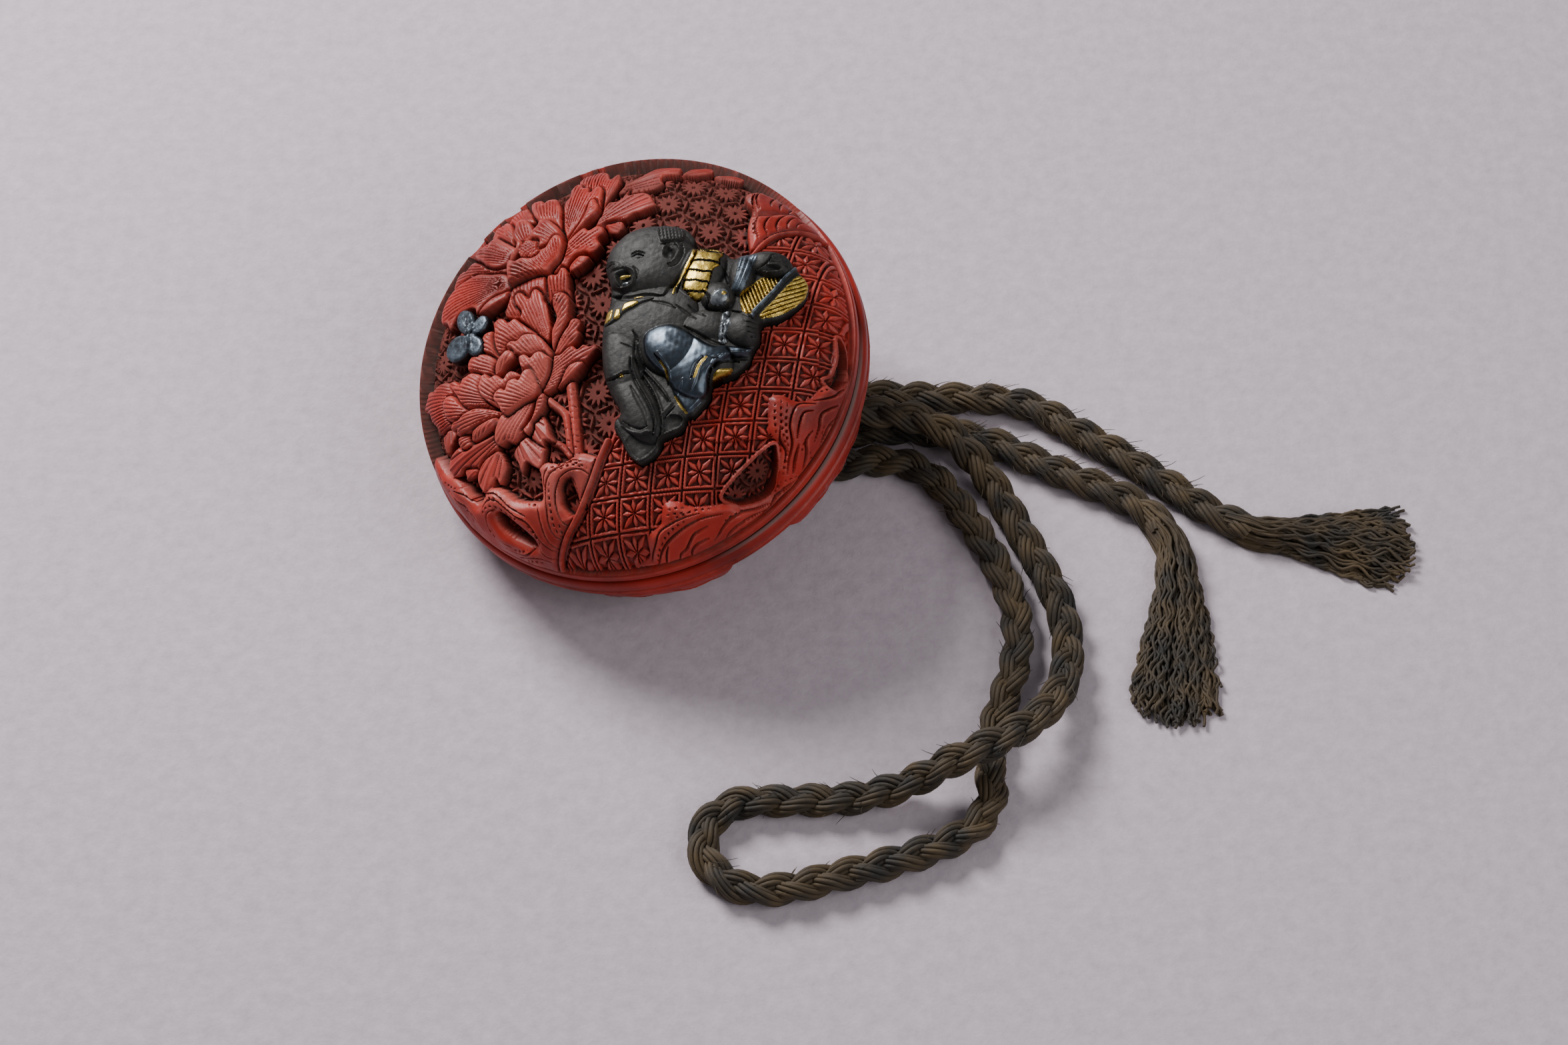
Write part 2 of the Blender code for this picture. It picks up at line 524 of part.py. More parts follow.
def skew_matrix():
    """The lid turned a little about the low side of the seam, so that the high side gapes."""
    low_side = Vector((math.cos(LEAN_TOWARDS), math.sin(LEAN_TOWARDS), 0)) * LID_RADIUS * MM
    axis = Vector((-math.sin(LEAN_TOWARDS), math.cos(LEAN_TOWARDS), 0))
    turn = Matrix.Rotation(LID_SKEW, 4, axis)
    lift = Matrix.Translation((0, 0, SEAM_GAP * MM))
    return lift @ Matrix.Translation(low_side) @ turn @ Matrix.Translation(-low_side)


def spots_inside(loop, depth, step):
    """A staggered grid of points at least so deep inside an outline."""
    low, high = loop.min(axis=0), loop.max(axis=0)
    rows = []
    for number, y in enumerate(np.arange(low[1], high[1], step * 0.87)):
        row = np.arange(low[0] + (number % 2) * step / 2, high[0], step)
        rows.append(np.stack([row, np.full(len(row), y)], axis=1))
    grid = np.vstack(rows)
    return grid[depth_inside(grid[:, 0], grid[:, 1], loop) > depth]


def tiled(loop, inner):
    """Triangles that fill an outline and pass through the points inside it."""
    points = np.vstack([loop, inner]) if len(inner) else loop
    border = [(i, (i + 1) % len(loop)) for i in range(len(loop))]
    found = geometry.delaunay_2d_cdt([Vector(p) for p in points], border, [list(range(len(loop)))], 1, 1e-5)
    return points, found[2]


def inlay(name, outline, height, top_step, triangles, collection, material, seat):
    """A relief inlay: its modelled top and its plain foot, lofted round one outline."""
    within = spots_inside(outline, INLAY_BEVEL + 0.55 * top_step, top_step)
    top_spots = np.vstack([shrink(outline, INLAY_BEVEL), within])
    top_points, top_faces = tiled(outline, top_spots)
    foot_points, foot_faces = tiled(outline, spots_inside(outline, 1.2, 2.2))
    depth = np.clip(depth_inside(top_points[:, 0], top_points[:, 1], outline), 0, None)
    depth[:len(outline)] = 0.0
    top = LID_DOME.point(top_points[:, 0], top_points[:, 1], height(top_points[:, 0], top_points[:, 1], depth))
    foot = LID_DOME.point(foot_points[:, 0], foot_points[:, 1], np.full(len(foot_points), -INLAY_FOOT))
    rim = len(outline)
    faces = [tuple(face) for face in top_faces]
    faces += [tuple(len(top) + i for i in reversed(face)) for face in foot_faces]
    for i in range(rim):
        j = (i + 1) % rim
        faces.append((j, i, len(top) + i, len(top) + j))
    mesh = bpy.data.meshes.new(name)
    mesh.from_pydata([tuple(p * MM) for p in np.vstack([top, foot])], [], faces)
    shape = bmesh.new()
    shape.from_mesh(mesh)
    bmesh.ops.recalc_face_normals(shape, faces=shape.faces)
    shape.to_mesh(mesh)
    shape.free()
    item = add_object(name, mesh, collection, material, seat)
    thin_out(item, triangles)
    return item


def shrink(loop, amount):
    """Points moved in from an outline, without those that come too near another stretch of it."""
    ahead = np.roll(loop, -1, axis=0) - np.roll(loop, 1, axis=0)
    ahead /= np.linalg.norm(ahead, axis=1, keepdims=True)
    area = np.sum(loop[:, 0] * np.roll(loop[:, 1], -1) - loop[:, 1] * np.roll(loop[:, 0], -1))
    inward = np.stack([-ahead[:, 1], ahead[:, 0]], axis=1) * np.sign(area)
    moved = loop + inward * amount
    return moved[depth_inside(moved[:, 0], moved[:, 1], loop) > 0.8 * amount]


def make_cord(name, points, collection, material):
    route = evenly_spaced(smooth_route(points, False, 12), CORD_STEP)
    route[:, 2] = np.maximum(route[:, 2], LOW)
    curve = bpy.data.curves.new(name, "CURVE")
    curve.dimensions = "3D"
    curve.bevel_depth = CORD_SIDES_RADIUS * MM
    curve.bevel_resolution = 2
    curve.use_fill_caps = True
    spline = curve.splines.new("POLY")
    spline.points.add(len(route) - 1)
    for point, place in zip(spline.points, route):
        point.co = (*(place * MM), 1.0)
    return add_object(name, curve, collection, material)


def make_tassel(name, sections, collection, material, sides=12):
    """The unbraided end of a cord, fanned out flat on the table: a loft of flattening ovals."""
    middles = np.array([place for place, _, _ in sections])
    shape = bmesh.new()
    rings = []
    for i, (place, half_width, thickness) in enumerate(sections):
        heading = middles[min(i + 1, len(middles) - 1)] - middles[max(i - 1, 0)]
        heading /= np.linalg.norm(heading)
        ring = []
        for angle in np.arange(sides) * 2 * math.pi / sides:
            side = half_width * math.cos(angle)
            up = thickness / 2 * (1 + math.sin(angle)) + 0.05
            ring.append(shape.verts.new(((place[0] - heading[1] * side) * MM,
                                         (place[1] + heading[0] * side) * MM, up * MM)))
        rings.append(ring)
    for first, second in zip(rings, rings[1:]):
        for i in range(sides):
            shape.faces.new((first[i], first[i - 1], second[i - 1], second[i]))
    shape.faces.new(rings[0])
    shape.faces.new(rings[-1][::-1])
    bmesh.ops.recalc_face_normals(shape, faces=shape.faces)
    mesh = bpy.data.meshes.new(name)
    shape.to_mesh(mesh)
    shape.free()
    return add_object(name, mesh, collection, material)


def main():
    clear_scene()
    collection = bpy.data.collections.new("manju_netsuke")
    cutters = bpy.data.collections.new("cutters")
    bpy.context.scene.collection.children.link(collection)
    bpy.context.scene.collection.children.link(cutters)
    lacquer = make_material("carved_red_lacquer", (0.36, 0.03, 0.02), 0.35)
    dark_metal = make_material("patinated_bronze", (0.04, 0.04, 0.042), 0.5, 0.8)
    blue_metal = make_material("blue_grey_alloy", (0.07, 0.08, 0.11), 0.4, 0.9)
    braid = make_material("olive_brown_silk", (0.08, 0.055, 0.03), 0.9)

    pose = add_empty("netsuke_pose", collection, seat_height_matrix())
    seat = add_empty("lid_seat", collection, skew_matrix(), pose)
    make_back(collection, cutters, lacquer, pose)
    make_lid(collection, lacquer, seat)
    inlay("boy_figure", smooth_route(BOY_OUTLINE, True, 3), boy_height, BOY_STEP, BOY_TRIANGLES, collection,
          dark_metal, seat)
    inlay("butterfly", butterfly_outline(), butterfly_height, BUTTERFLY_STEP, BUTTERFLY_TRIANGLES, collection,
          blue_metal, seat)
    for name, points in FLOOR_ROUTES.items():
        make_cord(name, points, collection, braid)
    for name, sections in TASSELS.items():
        make_tassel(name, sections, collection, braid)


main()
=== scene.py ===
"""Looks of a manju netsuke: a round toggle of carved red lacquer with a metal boy and butterfly set into
its lid, and a braided silk cord with two fanned tassels."""

import math

import bmesh
import bpy
import numpy as np
from bpy.props import FloatProperty, IntProperty, PointerProperty, StringProperty
from mathutils import Matrix, Vector


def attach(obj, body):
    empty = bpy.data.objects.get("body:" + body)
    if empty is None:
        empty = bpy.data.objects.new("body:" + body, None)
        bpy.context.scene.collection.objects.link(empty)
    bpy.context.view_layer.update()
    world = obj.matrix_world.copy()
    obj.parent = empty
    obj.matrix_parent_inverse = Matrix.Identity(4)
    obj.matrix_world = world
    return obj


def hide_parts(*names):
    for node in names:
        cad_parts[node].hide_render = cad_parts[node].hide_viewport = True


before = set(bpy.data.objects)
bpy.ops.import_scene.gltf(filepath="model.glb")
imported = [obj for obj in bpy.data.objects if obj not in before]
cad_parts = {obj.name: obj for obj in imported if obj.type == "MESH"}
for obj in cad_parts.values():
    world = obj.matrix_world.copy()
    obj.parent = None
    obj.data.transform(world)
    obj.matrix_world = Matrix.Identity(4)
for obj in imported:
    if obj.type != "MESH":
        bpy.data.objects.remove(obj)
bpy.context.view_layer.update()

bl_info = {
    "name": "Manju Netsuke",
    "version": (1, 0, 0),
    "blender": (4, 5, 0),
    "location": "3D View > Sidebar > Netsuke",
    "description": "Builds a carved lacquer manju netsuke with metal inlays and a braided cord",
    "category": "Add Mesh",
}

MM = 0.001

# The bun, in millimetres, as its solids have it
LID_RADIUS = 22.3
BACK_RADIUS = 22.6
HALF_HEIGHT = 10.0
SQUARENESS = 2.75
INNER_RADIUS = 18.9
INNER_HEIGHT = 6.9
LIP_RADIUS = 19.9
LIP_HEIGHT = 1.6
LIP_PLAY = 0.3
SEAM_GAP = 0.15
LEAN = math.radians(18.4)
LEAN_TOWARDS = math.radians(-156.3)
LEAN_WAY = Vector((math.cos(LEAN_TOWARDS), math.sin(LEAN_TOWARDS), 0))
LEAN_AXIS = Vector((-LEAN_WAY.y, LEAN_WAY.x, 0))
LID_SKEW = math.radians(0.4)
REST_CUT = 0.18
BUN_PLACE = (-0.24, -0.07)
HOLE_RADIUS = 4.25
HOLE_SPREAD = 5.7
HOLE_UPHILL = 0.5
HOLE_SLANT = math.radians(32)
SEAM_FACE = 0.7
INLAY_FOOT = 1.1

# Heights above the smooth dome, and the spacing of the cuts on a petal and on a leaf
LID_GROUND = -1.7
BACK_GROUND = -0.55
POCKET_FLOOR = -1.4
PETAL_CUTS = 0.36
LEAF_CUTS = 0.5
# The lid's rim: where its plain band begins, which on the far side is cut back, by direction in degrees
RIM_EDGE = 26.05
RIM_TURNS = (40, 60, 90, 130, 180, 200, 216)
RIM_INNER = (RIM_EDGE, 24.2, 22.9, 22.5, 23.4, 24.8, RIM_EDGE)
# How far the figure lies from its drawn outline, and its features from theirs
FIGURE_SHIFT = (0.45, -0.35)
FEATURE_SHIFT = (0.35, -0.1)
# Petals and rocks made pale by dust and a painted highlight: middle and half sizes
DUST_AND_HIGHLIGHT_PATCHES = ((-9, -4.5, 7, 6.5), (-8, -14.5, 6, 2.6))
# Towards the viewer, in the lid's own directions
SIGHT = (0.279, -0.464, 0.841)

# Camera, in millimetres, and lights: name, place, size in millimetres, watts
CAMERA_PLACE = (13.57, -243.03, 360.48)
CAMERA_TILT = math.radians(33)
CAMERA_LENS = 100.0
LIGHTS = [
    ("key_light", (-190, 215, 275), 180, 3.05),
    ("fill_light", (340, -200, 320), 420, 1.25),
]
WORLD_LIGHT = 0.31

# The cord's centre lines, in millimetres
CORD = 3.3
LOW = CORD / 2
TAIL_LONG = [
    (-1.1, 8.5, 5.5), (0.3, 8.5, 4.25), (2.8, 8.5, 2.6), (5.6, 8.45, 1.85), (8.8, 8.2, LOW), (13, 7.3, LOW),
    (17.5, 6.3, LOW), (22.3, 5.4, LOW), (28, 5, LOW), (34.2, 4.8, LOW), (38.6, 3.8, LOW), (42.3, 1.2, LOW),
    (46.2, -1.4, LOW), (50.1, -4.3, LOW), (54, -7.5, LOW), (57.2, -9.6, LOW), (59.4, -10.6, LOW)]
TAIL_SHORT = [
    (3.3, -1.9, 5.5), (4.7, -1.9, 4.25), (7.2, -1.9, 2.6), (10, -1.6, 1.85), (13, -0.9, LOW),
    (17.5, 0.4, LOW), (22.5, 1.2, LOW), (26.5, 1.1, LOW), (30.4, 0.6, LOW), (34.1, -0.4, LOW),
    (38, -2.4, LOW), (42, -4.5, LOW), (45.6, -6.2, LOW), (48.7, -8.1, LOW), (50.9, -10.6, LOW)]
LOOP = [
    (-1.1, 4.9, 5.5), (0.3, 4.9, 4.25), (2.8, 4.8, 2.6), (5.6, 4.5, 1.9), (8.8, 3.9, 1.9), (12, 3.1, 2.8),
    (15.5, 2.2, 4.4), (19, 1.4, 5.25), (22.7, 0.8, 5.35), (26, 0.3, 5.3), (28.3, -0.5, 5.1),
    (30.3, -1.7, 4.5), (32.8, -3.9, 2.9), (34.9, -7, 1.9), (37, -11.5, LOW), (39.2, -16.3, LOW),
    (40.6, -20.5, LOW), (40.9, -25, 1.9), (40, -29.8, 3.1), (37.4, -34, 4.8), (33.4, -36.9, 5.35),
    (29.4, -38.6, 4.6), (24.6, -40.2, 2.6), (19, -41.1, LOW), (13.5, -41.2, LOW), (8.9, -41.6, LOW),
    (6.2, -44.2, LOW), (6.4, -47.8, LOW), (9.4, -50.4, LOW), (13.6, -50.6, LOW), (18.4, -49.3, LOW),
    (23.6, -47.8, LOW), (28.1, -46.1, LOW), (31.6, -43.9, LOW), (33.2, -40.6, LOW), (33.1, -37, LOW),
    (33.7, -33, LOW), (35.1, -28.6, LOW), (36.1, -24.4, LOW), (35.9, -19.6, LOW), (34.2, -14.4, LOW),
    (31.8, -9.6, LOW), (29, -5.4, LOW), (25.8, -3, LOW), (22.2, -2.6, LOW), (17.5, -3.4, LOW),
    (13, -4.7, LOW), (10, -5.3, 1.85), (7.2, -5.5, 2.6), (4.7, -5.5, 4.25), (3.3, -5.5, 5.5)]
# The fanned ends: place, half width and thickness of each section, in millimetres
FAN_LONG = [
    ((60, -10.7), 1.65, 3.3), ((62.5, -10.9), 2.1, 3.2), ((66.5, -11.4), 3.4, 2.9), ((71.5, -12), 4.4, 2.4),
    ((76, -12.4), 4.9, 1.5)]
FAN_SHORT = [
    ((51.4, -11.7), 1.65, 3.3), ((51.9, -14), 2.2, 3.2), ((51.9, -19.5), 3.4, 2.9),
    ((51.3, -26.5), 4.3, 2.4), ((50.7, -33), 5, 1.5)]
CORD_PIECES = [
    ("tail_long", TAIL_LONG, FAN_LONG, "knot"),
    ("tail_short", TAIL_SHORT, FAN_SHORT, "knot"),
    ("loop", LOOP, [], "object"),
]
# Each cord's hairs, the braid's drop onto the table, and a tassel thread's radius
LOOSE_FIBRES = 260
BRAID_DROP = (0, 0, 0.2)
TASSEL_THREAD_RADIUS = 0.25
LID_INNER_CELLS = 24
BACK_INNER_CELLS = 44


def ease(value, low, high):
    """0 below low, 1 above high, and smooth between them."""
    t = np.clip((value - low) / (high - low), 0.0, 1.0)
    return t * t * (3.0 - 2.0 * t)


def smooth_line(points, closed=False, steps=8):
    """Points of a Catmull-Rom curve through the given points."""
    p = np.asarray(points, float)
    p = np.vstack([p[-1], p, p[0], p[1]]) if closed else np.vstack([2 * p[0] - p[1], p, 2 * p[-1] - p[-2]])
    out = []
    for a, b, c, d in zip(p[:-3], p[1:-2], p[2:-1], p[3:]):
        for t in np.arange(steps) / steps:
            bend = 2 * b + (c - a) * t + (2 * a - 5 * b + 4 * c - d) * t ** 2
            out.append((bend + (3 * b - a - 3 * c + d) * t ** 3) / 2)
    if not closed:
        out.append(p[-2])
    return np.array(out)


def evenly_spaced(line, step):
    """The same line with its points about one step apart."""
    lengths = np.linalg.norm(np.diff(line, axis=0), axis=1)
    along = np.concatenate([[0.0], np.cumsum(lengths)])
    marks = np.linspace(0.0, along[-1], max(2, round(along[-1] / step) + 1))
    return np.stack([np.interp(marks, along, line[:, k]) for k in range(line.shape[1])], axis=1)


def distance_to(x, y, line, closed):
    """Distance to a line, and whether each place is inside it."""
    nearest = np.full(x.shape, 1e9)
    inside = np.zeros(x.shape, bool)
    ends = np.roll(line, -1, axis=0) if closed else line[1:]
    for (x0, y0), (x1, y1) in zip(line, ends):
        dx, dy = x1 - x0, y1 - y0
        t = np.clip(((x - x0) * dx + (y - y0) * dy) / (dx * dx + dy * dy + 1e-12), 0, 1)
        nearest = np.minimum(nearest, (x - x0 - t * dx) ** 2 + (y - y0 - t * dy) ** 2)
        if closed and y0 != y1:
            inside ^= ((y0 > y) != (y1 > y)) & (x < dx * (y - y0) / dy + x0)
    return np.sqrt(nearest), inside


def unevenness(x, y, size, seed=0.0):
    """A smooth repeatable waviness between -1 and 1, with waves about one size long."""
    k = 2 * math.pi / size
    first = np.sin(k * (0.83 * x + 0.56 * y) + 1.7 + seed)
    second = np.sin(k * 1.31 * (-0.47 * x + 0.94 * y) + 0.4 + 2.1 * seed)
    third = np.sin(k * 1.73 * (0.98 * x - 0.21 * y) + 2.9 + 0.7 * seed)
    return (first + second + third) / 3


def groove(distance, width):
    """1 in the middle of a cut and 0 beyond its edges."""
    return 1 - ease(distance, 0.15 * width, 0.5 * width)


def along_across(x, y, angle):
    """Places measured along a direction and across it."""
    c, s = math.cos(angle), math.sin(angle)
    return x * c + y * s, y * c - x * s


def quarter_round(depth, width):
    """A round edge: 0 at the outline and 1 from this width inwards."""
    return np.sqrt(np.clip(1 - (1 - np.clip(depth / width, 0, 1)) ** 2, 0, 1))


class Dome:
    """One half of the bun: a superellipse turned round Z, measured along its arc from the pole."""

    def __init__(self, radius, height):
        self.radius = radius
        self.height = height
        t = np.linspace(0.0, math.pi / 2, 4000)
        self.r = radius * np.sin(t) ** (2 / SQUARENESS)
        self.z = height * np.cos(t) ** (2 / SQUARENESS)
        arcs = np.hypot(np.diff(self.r), np.diff(self.z))
        self.arc = np.concatenate([[0.0], np.cumsum(arcs)])
        self.length = self.arc[-1]

    def at(self, arc):
        return np.interp(arc, self.arc, self.r), np.interp(arc, self.arc, self.z)

    def point(self, x, y, rise):
        """Where a spot of the unrolled dome lies, raised or sunk square to the surface."""
        arc = np.hypot(x, y)
        r, z = self.at(arc)
        across = (r / self.radius) ** (SQUARENESS - 1) / self.radius
        up = (z / self.height) ** (SQUARENESS - 1) / self.height
        length = np.hypot(across, up)
        spread = (r + rise * across / length) / np.maximum(arc, 1e-9)
        return np.stack([x * spread, y * spread, z + rise * up / length], axis=-1)

    def plan(self, x, y):
        """Where a spot of the unrolled dome lies when seen straight from above."""
        arc = np.maximum(np.hypot(x, y), 1e-9)
        r = self.at(arc)[0]
        return x * r / arc, y * r / arc

    def along_sight(self, points, rise):
        """Where spots really lie that show at these places of the smooth dome and are raised or sunk."""
        x, y = np.array(points, float).T
        arc = np.maximum(np.hypot(x, y), 1e-9)
        r, z = self.at(arc)
        steep = np.arctan2((r / self.radius) ** (SQUARENESS - 1) * self.height,
                           (z / self.height) ** (SQUARENESS - 1) * self.radius)
        out_x, out_y = x / arc, y / arc
        level = SIGHT[0] * out_x + SIGHT[1] * out_y
        facing = np.maximum(level * np.sin(steep) + SIGHT[2] * np.cos(steep), 0.3)
        outward = rise * (level * np.cos(steep) - SIGHT[2] * np.sin(steep)) / facing
        sideways = rise * (SIGHT[1] * out_x - SIGHT[0] * out_y) / facing * arc / r
        x, y = x + out_x * outward - out_y * sideways, y + out_y * outward + out_x * sideways
        return np.stack([x, y], axis=-1)


LID_DOME = Dome(LID_RADIUS, HALF_HEIGHT)
BACK_DOME = Dome(BACK_RADIUS, HALF_HEIGHT)
INNER_DOME = Dome(INNER_RADIUS, INNER_HEIGHT)


# ---------------------------------------------------------------- carving

class Carving:
    """Heights of a carved or modelled skin over the unrolled dome, in millimetres above its smooth surface.

    Forms are laid down from the lowest to the highest, and each form replaces what lies under it."""

    def __init__(self, x, y, ground):
        self.x = x.ravel()
        self.y = y.ravel()
        self.arc = np.hypot(self.x, self.y)
        self.height = np.full(self.x.shape, float(ground))
        self.metal = np.zeros(self.x.shape, int)
        # Painted shade, 0 to 1: the rim sets it on its cut-back wall and on the low ground inside it
        self.shade = np.zeros(self.x.shape)

    def near(self, points, margin=0.3):
        """Indices of the spots in the box round some points."""
        low = np.min(points, axis=0) - margin
        high = np.max(points, axis=0) + margin
        return np.flatnonzero((self.x > low[0]) & (self.x < high[0]) & (self.y > low[1]) & (self.y < high[1]))

    def depth(self, at, outline):
        """Distance in from a closed outline, negative outside it."""
        gap, inside = distance_to(self.x[at], self.y[at], outline, True)
        return np.where(inside, gap, -gap)

    def patch(self, outline, margin=0.3):
        """The spots in and near a closed outline, and their distance in from it."""
        at = self.near(outline, margin)
        return at, self.depth(at, outline)

    def lay(self, at, inside, height):
        self.height[at[inside]] = height[inside]

    # Grounds

    def hemp_ground(self, pitch=3.6, turn=math.radians(-14)):
        """Hexagons framed by lens-shaped leaves, with a star of twelve fine leaves in each."""
        x, y = along_across(self.x, self.y, turn)
        x, y = x / pitch, y / pitch
        rows = math.sqrt(3) / 2
        nearest = np.full(x.shape, 9.0)
        near_x, near_y = np.zeros(x.shape), np.zeros(x.shape)
        for shift in (0.0, 0.5):
            dy = y - (np.round((y / rows - 2 * shift) / 2) * 2 + 2 * shift) * rows
            dx = x - np.round(x - shift) - shift
            closer = dx * dx + dy * dy < nearest
            nearest = np.where(closer, dx * dx + dy * dy, nearest)
            near_x, near_y = np.where(closer, dx, near_x), np.where(closer, dy, near_y)
        r = np.hypot(near_x, near_y) * pitch
        angle = np.arctan2(near_y, near_x)
        off_side = angle - np.round(angle / (math.pi / 3)) * (math.pi / 3)
        edge = pitch / 2 - r * np.cos(off_side)
        side = pitch / math.sqrt(3)
        lens = 0.19 * (1 - (2 * r * np.sin(off_side) / side) ** 2)
        leaf = ease(lens - edge, 0.0, 0.08)
        ray = (angle / (2 * math.pi) * 12) % 1.0 - 0.5
        across = np.abs(ray) * 2 * math.pi / 12 * r
        width = 0.25 * np.sin(math.pi * np.clip((r - 0.08) / 1.5, 0, 1)) ** 0.8
        star = ease(width - across, 0.0, 0.07)
        self.height += 0.36 * np.maximum(leaf, star) - 0.16
        self.ground = self.height.copy()

    def star_lattice(self, x, y, cell=3.05):
        """Slanting square cells, each with its own frame and a star of eight folded leaves; 0 in the cuts."""
        f = ((x - 0.22 * y + 0.55) / cell + 0.5) % 1.0 - 0.5
        g = ((y + 0.35) / cell + 0.5) % 1.0 - 0.5
        edge = (0.5 - np.maximum(np.abs(f), np.abs(g))) * cell
        frame_bar = ease(edge, 0.05, 0.12) * (1 - ease(edge, 0.28, 0.36))
        px, py = (f + 0.16 * g) * cell, g * cell
        r = np.hypot(px, py)
        angle = np.arctan2(py, px)
        ray = np.round(angle / (math.pi / 4))
        off_ray = angle - ray * math.pi / 4
        across = np.abs(np.sin(off_ray)) * r
        along = r * np.cos(off_ray)
        reach = np.where(ray % 2 != 0, 1.75, 1.25)
        half = np.minimum(along * 0.38, 0.4 * np.clip(1 - along / reach, 0, 1) ** 0.6)
        leaf = ease(half - across, 0.0, 0.06) * ease(edge, 0.34, 0.4)
        crease = 0.6 + 0.4 * np.clip(1 - across / np.clip(half, 0.05, 1.0), 0, 1)
        return np.maximum(frame_bar, leaf * crease)

    def terrace(self, outline, level):
        """A raised floor of starred cells inside a smooth edge band."""
        at, depth = self.patch(smooth_line(outline, True))
        height = level - 0.36 + 0.36 * self.star_lattice(*LID_DOME.plan(self.x[at], self.y[at]))
        band = 1 - ease(depth, 0.42, 0.5)
        height = height * (1 - band) + (level + 0.1 - 0.6 * (depth - 0.22) ** 2) * band
        height -= 0.3 * groove(depth - 0.58, 0.24) * (1 - ease(depth, 0.7, 0.8))
        self.lay(at, depth > 0, height - 0.3 * (1 - ease(depth, 0.0, 0.14)))

    # Flowers

    def petal(self, outline, focus, top, plump=0.45):
        """A lobed petal that rises from its root to its plump edge, with fine cuts that fan from a focus."""
        loop = LID_DOME.along_sight(smooth_line(outline, True, 5), top)
        focus = LID_DOME.along_sight([focus], top)[0]
        at, depth = self.patch(loop)
        x, y = self.x[at], self.y[at]
        reach = np.hypot(loop[:, 0] - focus[0], loop[:, 1] - focus[1])
        dx, dy = x - focus[0], y - focus[1]
        away = (np.hypot(dx, dy) - reach.min()) / (reach.max() - reach.min())
        height = top - 0.55 * (1 - ease(away, -0.15, 0.8)) + 0.2 * ease(depth, 0.0, 0.75)
        height -= 0.22 * (1 - ease(depth, 0.0, 0.2))
        along, across = along_across(dx, dy, math.atan2(*(loop.mean(axis=0) - focus)[::-1]))
        fan = np.arctan2(across, along) * reach.mean() / PETAL_CUTS + 0.12 * unevenness(x, y, 2.6, top)
        cut = ease(np.abs(fan % 1.0 - 0.5) * 2, 0.5, 0.95) * (0.75 + 0.25 * np.sin(12.9 * np.floor(fan)))
        self.undercut(at, depth)
        self.lay(at, depth > 0, height - 0.2 * cut * ease(depth, 0.2 * plump, 0.9 * plump))

    def undercut(self, at, depth, width=0.32, cut=0.4):
        """Sink what lies just outside a form, so that it stands clear of the forms below it."""
        self.height[at] -= cut * np.clip(1 + depth / width, 0, 1) * (depth <= 0)

    def leaf(self, outline, base, tip, top):
        """A leaf with a raised midrib and long cuts that fan from its root."""
        at, depth = self.patch(LID_DOME.along_sight(smooth_line(outline, True, 5), top))
        base, tip = LID_DOME.along_sight([base, tip], top)
        length = math.dist(base, tip)
        along, v = along_across(self.x[at] - base[0], self.y[at] - base[1], math.atan2(*(tip - base)[::-1]))
        u = along / length
        height = top - 0.35 * (1 - ease(u, -0.1, 0.8)) - 0.1 * np.abs(v) - 0.2 * (1 - ease(depth, 0.0, 0.25))
        height += 0.08 * (1 - ease(np.abs(v), 0.04, 0.2))
        fan = np.arctan2(v, (u + 0.35) * length) * (0.8 * length) / LEAF_CUTS
        cut = ease(np.abs(fan % 1.0 - 0.5) * 2, 0.6, 1.0) * ease(np.abs(v), 0.1, 0.3) * ease(depth, 0.1, 0.4)
        self.undercut(at, depth)
        self.lay(at, depth > 0, height - 0.16 * cut)

    def pebbled(self, centre, size, top):
        """The seeded heart of a flower."""
        at = self.near([centre], size)
        dx, dy = self.x[at] - centre[0], self.y[at] - centre[1]
        edge = 1 - np.hypot(dx, dy) / size
        grain = 2 * math.pi / 0.36
        seeds = 0.09 * np.cos(dx * grain) * np.cos(dy * grain)
        self.lay(at, edge > 0, top + 0.2 * ease(edge, 0, 0.6) + seeds)

    def stem(self, points, width, top, nicks=0.14):
        """A rounded branch with short nicks across it, or a smooth bead without them."""
        line = smooth_line(points)
        at = self.near(line, width)
        gap = distance_to(self.x[at], self.y[at], line, False)[0]
        edge = width / 2 - gap
        nick = np.abs(((self.y[at] + 0.25 * self.x[at]) / 0.6) % 1.0 - 0.5) * 2
        broken = ease(np.abs(unevenness(self.x[at], self.y[at], 1.3)), 0.1, 0.5)
        height = top - 0.45 * np.clip(2 * gap / width, 0, 1) ** 2
        self.lay(at, edge > 0, height - nicks * ease(nick, 0.7, 1.0) * broken * ease(edge, 0.05, 0.2))

    # Rocks

    def rock(self, outline, level, hollows=(), folds=(), dashes=(), seed=0.0, round_to=0.9, drop=0.35):
        """A weathered rock with its gouged folds and its rows of short pricked marks."""
        at, depth = self.patch(smooth_line(outline, True))
        for hollow in hollows:
            depth = np.minimum(depth, -self.depth(at, smooth_line(hollow, True)))
        x, y = self.x[at], self.y[at]
        height = level - drop * (1 - ease(depth, 0.0, round_to)) ** 1.5 - 0.1 * (1 - ease(depth, 0, 0.15))
        height += 0.1 * unevenness(x, y, 5.0, seed) * ease(depth, 0.2, 1.0)
        self.lay(at, depth > 0, height)
        inside = np.zeros(self.x.shape, bool)
        inside[at[depth > 0.12]] = True
        for points in folds:
            self.fold(points, inside)
        for points in dashes:
            self.fold(points, inside, 0.26, 0.3, 0.0, 0.66)

